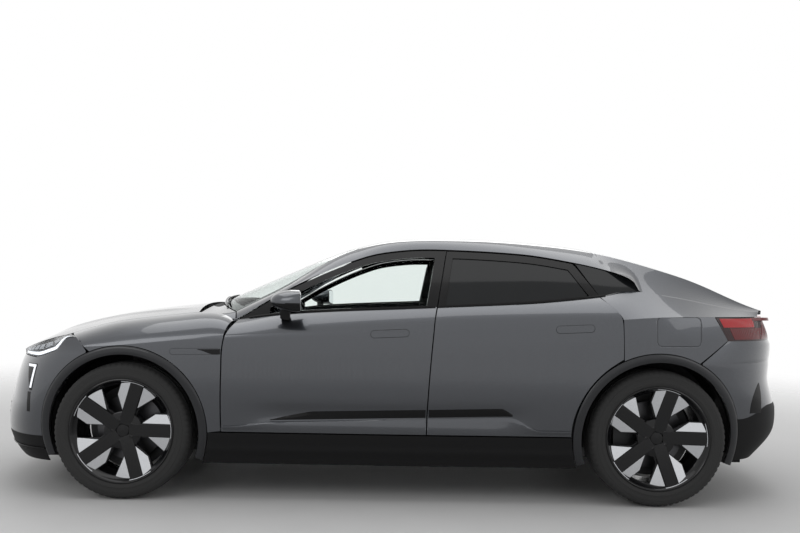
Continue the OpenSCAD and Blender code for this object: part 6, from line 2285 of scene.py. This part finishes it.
    def tyre(self) -> Piece:
        """The tyre: rounded side walls, four grooves and cut shoulder blocks.

        Returns:
            The new object.
        """
        r, w, rim = LINES.tyre_r, LINES.tyre_w / 2, LINES.rim_r
        profile = [(rim + 0.5, -w + 22), (rim + 10, -w + 8), (rim + 22, -w + 3), (r - 52, -w + 0.5),
                   (r - 34, -w + 3), (r - 24, -w + 6)]
        tread = [(-w + 12, 13), (-w + 22, 6.5), (-82, 2.2), (-79, 9.5), (-70, 9.5), (-67, 1.4), (-31, 0.4),
                 (-28, 8.5), (-19, 8.5), (-16, 0.2), (16, 0.2), (19, 8.5), (28, 8.5), (31, 0.4), (67, 1.4),
                 (70, 9.5), (79, 9.5), (82, 2.2), (w - 22, 6.5), (w - 12, 13)]
        profile += [(r - d, h) for h, d in tread]
        profile += [(r - 24, w - 6), (r - 34, w - 3), (r - 37, w - 3.4), (r - 39, w - 1.4),
                    (r - 52, w - 0.5), (rim + 24, w - 2), (rim + 22, w - 1), (rim + 12, w - 3.5),
                    (rim + 4, w - 8), (rim + 0.5, w - 14)]
        ring = np.array(profile)
        count = 288
        a = np.linspace(0, 2 * math.pi, count, endpoint=False)
        radius = np.broadcast_to(ring[None, :, 0], (count, len(ring))).copy()
        cut = (np.arange(count) % 4 == 0)[:, None]
        edge = ((np.abs(ring[:, 1]) > 83) & (ring[:, 0] > r - 16))[None]
        radius -= np.where(cut & edge, 4.5, 0)
        local = np.stack([radius * np.cos(a)[:, None], radius * np.sin(a)[:, None],
                          np.broadcast_to(ring[None, :, 1], radius.shape)], -1)
        points = self.put(local).reshape(-1, 3)
        m = len(ring)
        faces = [(j * m + i, j * m + (i + 1) % m, (j + 1) % count * m + (i + 1) % m,
                  (j + 1) % count * m + i) for j in range(count) for i in range(m)]
        if Maker.volume(points, faces) < 0:
            faces = [f[::-1] for f in faces]
        return Maker.mesh(f"road_tyre_{self.word}", points, faces, [RUBBER])

    def build(self) -> None:
        """Builds and dresses the wheel."""
        body = f"roller_{self.word}"
        alloy = Maker.join(f"alloy_wheel_{self.word}", self.rim() + self.spokes())
        place(alloy, body, "wheel_alu", f"wheel_{self.word}")
        place(self.tyre(), body, "tyre_rubber", f"tyre_{self.word}")
        shield = self.turned(f"brake_shield_{self.word}",
                             [(78, -72), (236, -72), (240, -68), (240, -66.5), (234, -69), (78, -69)],
                             [STEEL], 72)
        place(shield, f"upright_{self.side.word}" if self.front else "body", "dark_steel")


@dataclass
class Seat:
    """A seat of padded forms: cushion, backrest and headrests."""

    name: str
    node: str
    x: float
    middles: tuple[float, ...]
    width: float
    back: float
    rests: tuple[float, ...]
    bolster: float = 26

    def pad(self, name: str, path: Array, face: Array, width: Array, thick: Array, y: float, bolster: float,
            channels: int) -> Piece:
        """A crowned pad along a path.

        Args:
            name: the piece's name.
            path: points of its middle line in [x, z].
            face: direction its sitting side looks in, for each point.
            width: its width at each point.
            thick: its thickness at each point.
            y: its middle across the vehicle.
            bolster: how far its side rolls stand up.
            channels: sewn channels across it.

        Returns:
            The new object.
        """
        around = 72
        a = np.linspace(0, 2 * math.pi, around, endpoint=False)
        c = np.sign(np.cos(a)) * np.abs(np.cos(a)) ** 0.5
        s = np.sign(np.sin(a)) * np.abs(np.sin(a)) ** 0.62
        n = len(path)
        v = np.linspace(0, 1, n)
        end = np.clip(1 - np.abs(2 * v - 1) ** 10, 0, 1) ** 0.42
        end = 0.05 + 0.95 * end
        across = c[None] * (width * (0.82 + 0.18 * end))[:, None] / 2
        top = (s > 0)[None]
        roll = bolster * (np.abs(c) ** 3)[None] * top * end[:, None]
        seam = np.exp(-((np.abs(c) - 0.62) / 0.035) ** 2)[None] * 5 * top
        line = np.zeros(n)
        for k in range(1, channels + 1):
            line += np.exp(-((v - k / (channels + 1)) / 0.012) ** 2)
        sewn = 4 * line[:, None] * ((np.abs(c) < 0.62)[None]) * top
        crown = 8 * (1 - np.abs(c) ** 2)[None] * top
        height = s[None] * (thick * end)[:, None] / 2
        height = height + (roll + crown) * end[:, None] - (seam + sewn) * end[:, None]
        x = path[:, 0][:, None] + face[:, 0][:, None] * height
        z = path[:, 1][:, None] + face[:, 1][:, None] * height
        rings = np.stack([x, np.broadcast_to(y + across, x.shape), z], -1)
        kinds = [1 if abs(c[i]) < 0.6 and s[i] > 0 else 0 for _ in range(n - 1) for i in range(around)]
        pad = Maker.loft(name, rings, [SEAT_HIDE, SEAT_CLOTH], kinds)
        return pad

    @staticmethod
    def normals(path: Array) -> Array:
        """Directions square to a path in [x, z], on its left as it runs.

        Args:
            path: points as [x, z].

        Returns:
            The directions.
        """
        run = np.gradient(path, axis=0)
        run /= np.linalg.norm(run, axis=1)[:, None]
        return np.stack([-run[:, 1], run[:, 0]], -1)

    def build(self) -> None:
        """Builds and dresses the seat."""
        t = steps(60)
        base = np.stack([self.x + mix(14, 560, t), mix(500, 492, t) + 8 * np.sin(np.pi * t)], -1)
        lean = np.stack([self.x + bow(545, 575, 655 + self.back, t), bow(520, 700, 1022, t)], -1)
        first = True
        for n, y in enumerate(self.middles):
            wide = np.full(61, self.width)
            cushion = self.pad(f"{self.name}_cushion_{n}", base, self.normals(base), wide,
                               np.full(61, 92.0), y, self.bolster, 5)
            place(cushion, "body", "seat_cloth", *([self.node] if first else []))
            first = False
            taper = self.width * (1 - 0.16 * ease(0.55, 1, t))
            rest = self.pad(f"{self.name}_backrest_{n}", lean, self.normals(lean), taper, mix(120, 74, t),
                            y, self.bolster, 7)
            place(rest, "body", "seat_cloth")
        for n, y in enumerate(self.rests):
            low = 1046.0 if self.width < 560 else 1020.0
            high = 1196.0 if self.width < 560 else 1126.0
            x0 = self.x + 662 + self.back - 4
            head = np.stack([mix(x0, x0 + 34, t), mix(low, high, t)], -1)
            pad = self.pad(f"{self.name}_headrest_{n}", head, self.normals(head), np.full(61, 244.0),
                           np.full(61, 66.0), y, 6, 0)
            place(pad, "body", "seat_cloth")
            posts = [Maker.tube("post",
                                np.array([[x0 + 2, y + d, low - 60], [x0 + 6, y + d, low],
                                          [x0 + 12, y + d, low + 30]]), 12, 12, [DISC]) for d in (-56, 56)]
            place(Maker.join(f"{self.name}_head_posts_{n}", posts), "body", "dark_steel")

    def runners(self) -> None:
        """The rails that carry a front seat."""
        rails = []
        for y in self.middles:
            for d in (-175, 175):
                rails.append(Maker.box("runner", (self.x + 60, y + d - 25, 319),
                                       (self.x + 560, y + d + 25, 345), [STEEL], 3))
                for x in (90, 500):
                    rails.append(Maker.box("leg", (self.x + x, y + d - 16, 344),
                                           (self.x + x + 36, y + d + 16, 458), [STEEL], 3))
        place(Maker.join(f"{self.name}_runners", rails), "body", "dark_steel")


@dataclass
class Cabin:
    """Dashboard, console, screen, steering wheel and seats."""

    seat_y: float = 372
    wheel_r: float = 182
    column_tilt: float = 68

    def dashboard(self) -> None:
        """The dashboard with its console, screens and vents."""
        fa = LINES.fa
        section = np.array([(515, 620), (515, 985), (560, 1000), (640, 1008), (740, 1000), (800, 985),
                            (828, 962), (838, 930), (828, 894), (800, 860), (750, 824), (706, 800),
                            (694, 760), (690, 640)], float)
        rings = []
        for y in np.linspace(-690, 690, 49):
            scoop = 10 * (y / 690) ** 2
            rings.append(np.stack([fa + section[:, 0] + scoop * (section[:, 0] - 515) / 320,
                                   np.full(len(section), y), section[:, 1] - scoop * 0.6], -1))
        parts = [Maker.loft("top", np.array(rings), [TRIM], bevel=3)]
        parts.append(Maker.box("console", (fa + 690, -104, 319), (fa + 1500, 104, 556), [BLACK_PLASTIC],
                               14))
        parts.append(Maker.box("console_pad", (fa + 1180, -96, 552), (fa + 1490, 96, 582), [SEAT_HIDE], 12))
        parts.append(Maker.box("riser", (fa + 690, -100, 540), (fa + 780, 100, 720), [BLACK_PLASTIC], 12))
        parts.append(Maker.box("strip", (fa + 826, -660, 936), (fa + 842, 660, 950), [ALLOY], 3))
        place(Maker.join("dashboard_shape", parts), "body", "cabin_plastic", "dashboard")
        tablet = Maker.box("tablet", (fa + 815, -200, 902), (fa + 835, 200, 1123), [GLOSS_BLACK], 5)
        glass = Maker.box("glass", (fa + 834.5, -192, 910), (fa + 836, 192, 1116), [SCREEN], 1)
        place(Maker.join("centre_display", [tablet, glass]), "body", "black_plastic")
        hood = Maker.box("cluster", (fa + 800, -self.seat_y - 150, 995),
                         (fa + 822, -self.seat_y + 150, 1090), [SCREEN], 6)
        place(hood, "body", "black_plastic")
        slots = []
        for y in (-600, -250, 250, 600):
            for k in range(3):
                slots.append(Maker.box("vane", (fa + 828, y - 55, 898 + 11 * k),
                                       (fa + 846, y + 55, 903 + 11 * k), [GLOSS_BLACK], 1.5))
        place(Maker.join("air_vanes", slots), "body", "black_plastic")

    def steering(self) -> None:
        """The steering wheel with its pad and three spokes."""
        tilt = math.radians(self.column_tilt)
        origin = np.array([LINES.fa + 960, -self.seat_y, 965])

        def put(local: Array) -> Array:
            """Points of the wheel, its axis along the third number, at the column's end.

            Args:
                local: points in the wheel's own frame.

            Returns:
                The points at their place.
            """
            x = local[..., 0] * math.cos(tilt) + local[..., 2] * math.sin(tilt)
            z = -local[..., 0] * math.sin(tilt) + local[..., 2] * math.cos(tilt)
            return np.stack([x, local[..., 1], z], -1) + origin

        a, b = np.meshgrid(np.linspace(0, 2 * math.pi, 96, endpoint=False),
                           np.linspace(0, 2 * math.pi, 20, endpoint=False), indexing="ij")
        r = self.wheel_r - 16 + 16 * np.cos(b)
        ring = put(np.stack([r * np.cos(a), r * np.sin(a), 14.5 * np.sin(b)], -1)).reshape(-1, 3)
        faces = [(j * 20 + i, j * 20 + (i + 1) % 20, (j + 1) % 96 * 20 + (i + 1) % 20,
                  (j + 1) % 96 * 20 + i) for j in range(96) for i in range(20)]
        if Maker.volume(ring, faces) < 0:
            faces = [f[::-1] for f in faces]
        parts = [Maker.mesh("rim", ring, faces, [SEAT_HIDE])]
        c = np.linspace(0, 2 * math.pi, 48, endpoint=False)
        for radius, low, high, finish in ((62, -24, 12, TRIM), (50, 10, 17, BLACK_PLASTIC)):
            rows = [put(np.stack([q * np.cos(c), q * np.sin(c) * 1.08, np.full(48, h)], -1)) for q,
                    h in ((radius, low), (radius, high - 6), (radius - 6, high), (1, high + 3))]
            parts.append(Maker.loft("pad", np.array(rows), [finish]))
        for angle in (90, 180, 270):
            t = math.radians(angle)
            path = np.array([[q * math.cos(t), q * math.sin(t), 0]
                             for q in np.linspace(46, self.wheel_r - 10, 8)])
            axis = put(np.array([0.0, 0, 1])) - put(np.array([0.0, 0, 0]))
            parts.append(Maker.tube("spoke", put(path), 32, 14, [GLOSS_BLACK], 12, axis))
        place(Maker.join("steering_grip", parts), "steering", "wheel_leather", "steering_wheel")
        column = Maker.tube("steering_shroud", put(np.array([[0.0, 0, -190], [0, 0, -140], [0, 0, -95]])),
                            96, 92, [BLACK_PLASTIC], 24, (0, 1, 0))
        shaft = Maker.tube("shaft", put(np.array([[0.0, 0, -100], [0, 0, -50], [0, 0, 6]])), 31, 31,
                           [STEEL], 20, (0, 1, 0))
        place(Maker.join("steering_column_cover", [column, shaft]), "body", "cabin_plastic")

    def build(self) -> None:
        """Builds and dresses the cabin."""
        self.dashboard()
        self.steering()
        front = Seat("front_seat", "front_seats", LINES.fa + 1075, (-self.seat_y, self.seat_y), 510, 60,
                     (-self.seat_y, self.seat_y))
        front.build()
        front.runners()
        Seat("rear_bench", "rear_bench", LINES.ra - 1045, (0.0,), 1220, 90, (-400.0, 0.0, 400.0),
             12).build()
        base = Maker.box("rear_bench_base", (LINES.ra - 990, -600, 319), (LINES.ra - 490, 600, 462),
                         [CARPET], 8)
        place(base, "body", "cabin_plastic")


@dataclass
class Underbody:
    """Finishes of the solids that show below and behind the wheels as they are."""

    def build(self) -> None:
        """Dresses the running gear and the floor."""
        looks = {"platform": CARPET, "bulkhead": STEEL, "cowl": BLACK_PLASTIC, "front_tub": BLACK_PLASTIC,
                 "roof_frame": TRIM, "battery_pack": PACK, "drive_units": CAST, "front_suspension": STEEL,
                 "rear_suspension": STEEL, "wheel_liners": BLACK_PLASTIC, "knuckle_left": STEEL,
                 "knuckle_right": STEEL}
        for node, finish in looks.items():
            obj = frame["nodes"][node]
            obj.data.materials.clear()
            obj.data.materials.append(finish.material())
            LOG.info("%s dressed as %s", node, finish.name)
        # Black undertray walls ahead of the front wheels and behind the rear wheels, put to hide the lit
        # floor seen under the body: painted shade for the dark under the vehicle.
        fa, ra, shade_plates = LINES.fa, LINES.ra, []
        for side in Side:
            for x0, x1, y0, z0, z1 in ((fa - 640, fa - 440, -616.0, 168, 320),
                                       (ra + 440, ra + 600, -640.0, 190, 340)):
                a, b = side.turn(np.array([x0, y0, z0])), side.turn(np.array([x1, y0 + 14, z1]))
                shade_plates.append(Maker.box("baffle", np.minimum(a, b), np.maximum(a, b), [BLACK_PLASTIC], 3))
        place(Maker.join("under_baffles", shade_plates), "body", "black_plastic")


@dataclass(frozen=True)
class Lamp:
    """A soft light: where it stands and looks, its width and height in metres, its power in watts."""

    name: str
    spot: tuple[float, float, float]
    aim: tuple[float, float, float]
    size: tuple[float, float]
    power: float


LAMPS = (Lamp("top_light", (0, 0, 5.2), (0, 0, 0), (7, 4.5), 150),
         Lamp("key_light", (-4.5, -6, 4.5), (0, 0, 0.7), (4, 3), 80),
         Lamp("fill_light", (5.5, -5, 3.0), (0, 0, 0.7), (4, 3), 45),
         Lamp("back_light", (1, 6.5, 4.0), (0, 0, 0.8), (6, 3), 70))


@dataclass
class Studio:
    """Pale floor, soft lights and the camera."""

    distance: float = 5.4
    eye_x: float = 0.05
    eye_z: float = 1.203
    focal_px: float = 794
    horizon_px: float = 288.4
    image_w: float = 800
    image_h: float = 533
    roll: float = 0.015
    surround: float = 0.45
    floor_near: float = 2.6
    floor_far: float = 9.0
    floor_half: float = 30000.0

    def floor(self) -> None:
        """The floor that the vehicle stands on."""
        half = self.floor_half
        floor = Maker.mesh("studio_floor",
                           np.array([[-half, -half, 0], [half, -half, 0], [half, half, 0],
                                     [-half, half, 0]]), [(0, 1, 2, 3)], [FLOOR])
        tree = floor.data.materials[0].node_tree
        place_node = tree.nodes.new("ShaderNodeTexCoord")
        reach = tree.nodes.new("ShaderNodeVectorMath")
        reach.operation = "LENGTH"
        tree.links.new(place_node.outputs["Object"], reach.inputs[0])
        fade = tree.nodes.new("ShaderNodeMapRange")
        fade.interpolation_type = "SMOOTHSTEP"
        fade.inputs["From Min"].default_value = self.floor_near
        fade.inputs["From Max"].default_value = self.floor_far
        tree.links.new(reach.outputs["Value"], fade.inputs["Value"])
        clear = tree.nodes.new("ShaderNodeBsdfTransparent")
        blend = tree.nodes.new("ShaderNodeMixShader")
        tree.links.new(fade.outputs["Result"], blend.inputs[0])
        tree.links.new(tree.nodes["Principled BSDF"].outputs[0], blend.inputs[1])
        tree.links.new(clear.outputs[0], blend.inputs[2])
        tree.links.new(blend.outputs[0], tree.nodes["Material Output"].inputs["Surface"])

    def light(self, lamp: Lamp) -> None:
        """Sets up one soft light.

        Args:
            lamp: its name, place, size and power.
        """
        data = bpy.data.lights.new(lamp.name, "AREA")
        data.shape = "RECTANGLE"
        data.size, data.size_y = lamp.size
        data.energy = lamp.power
        obj = bpy.data.objects.new(lamp.name, data)
        obj.location = lamp.spot
        obj.rotation_euler = (Vector(lamp.aim) - Vector(lamp.spot)).to_track_quat("-Z", "Y").to_euler()
        bpy.context.scene.collection.objects.link(obj)

    def world(self) -> None:
        """A soft surround that the camera, metal and glass see as plain white."""
        world = bpy.data.worlds.new("studio")
        bpy.context.scene.world = world
        world.use_nodes = True
        tree = world.node_tree
        base = tree.nodes["Background"]
        base.inputs["Color"].default_value = (1, 1, 1, 1)
        base.inputs["Strength"].default_value = self.surround
        seen = tree.nodes.new("ShaderNodeBackground")
        seen.inputs["Color"].default_value = (1, 1, 1, 1)
        seen.inputs["Strength"].default_value = 1.0
        path = tree.nodes.new("ShaderNodeLightPath")
        total = path.outputs["Is Camera Ray"]
        for name in ("Is Glossy Ray", "Is Transmission Ray"):
            more = tree.nodes.new("ShaderNodeMath")
            more.operation = "MAXIMUM"
            tree.links.new(total, more.inputs[0])
            tree.links.new(path.outputs[name], more.inputs[1])
            total = more.outputs[0]
        blend = tree.nodes.new("ShaderNodeMixShader")
        tree.links.new(total, blend.inputs[0])
        tree.links.new(base.outputs[0], blend.inputs[1])
        tree.links.new(seen.outputs[0], blend.inputs[2])
        tree.links.new(blend.outputs[0], tree.nodes["World Output"].inputs["Surface"])

    def camera(self) -> None:
        """The camera at the photograph's place."""
        data = bpy.data.cameras.new("camera")
        data.sensor_width = 36.0
        data.lens = self.focal_px * data.sensor_width / self.image_w
        data.shift_y = (self.horizon_px - self.image_h / 2) / self.image_w
        obj = bpy.data.objects.new("camera", data)
        turn = Matrix.Rotation(math.radians(90), 4, "X") @ Matrix.Rotation(self.roll, 4, "Z")
        obj.matrix_world = Matrix.Translation((self.eye_x, -self.distance, self.eye_z)) @ turn
        bpy.context.scene.collection.objects.link(obj)
        bpy.context.scene.camera = obj

    def build(self) -> None:
        """Sets up the studio."""
        self.floor()
        self.world()
        for lamp in LAMPS:
            self.light(lamp)
        self.camera()
        bpy.context.scene.view_settings.view_transform = "Standard"


def main() -> None:
    """Builds the vehicle's sub-assemblies and the studio in order."""
    logging.basicConfig(level=logging.INFO, format="%(name)s: %(message)s")
    Studio().build()
    Underbody().build()
    for side in Side:
        BodySide(side).build()
        Door(side, True, LINES.fa + 1493, 951).build()
        Door(side, False, LINES.ra - 476, 991).build()
        DoorMirror(side).build()
        for front in (True, False):
            Wheel(side, front).build()
    FrontEnd().build()
    TopGlass().build()
    RearEnd().build()
    Trims().build()
    Cabin().build()


if __name__ == "__main__":
    main()
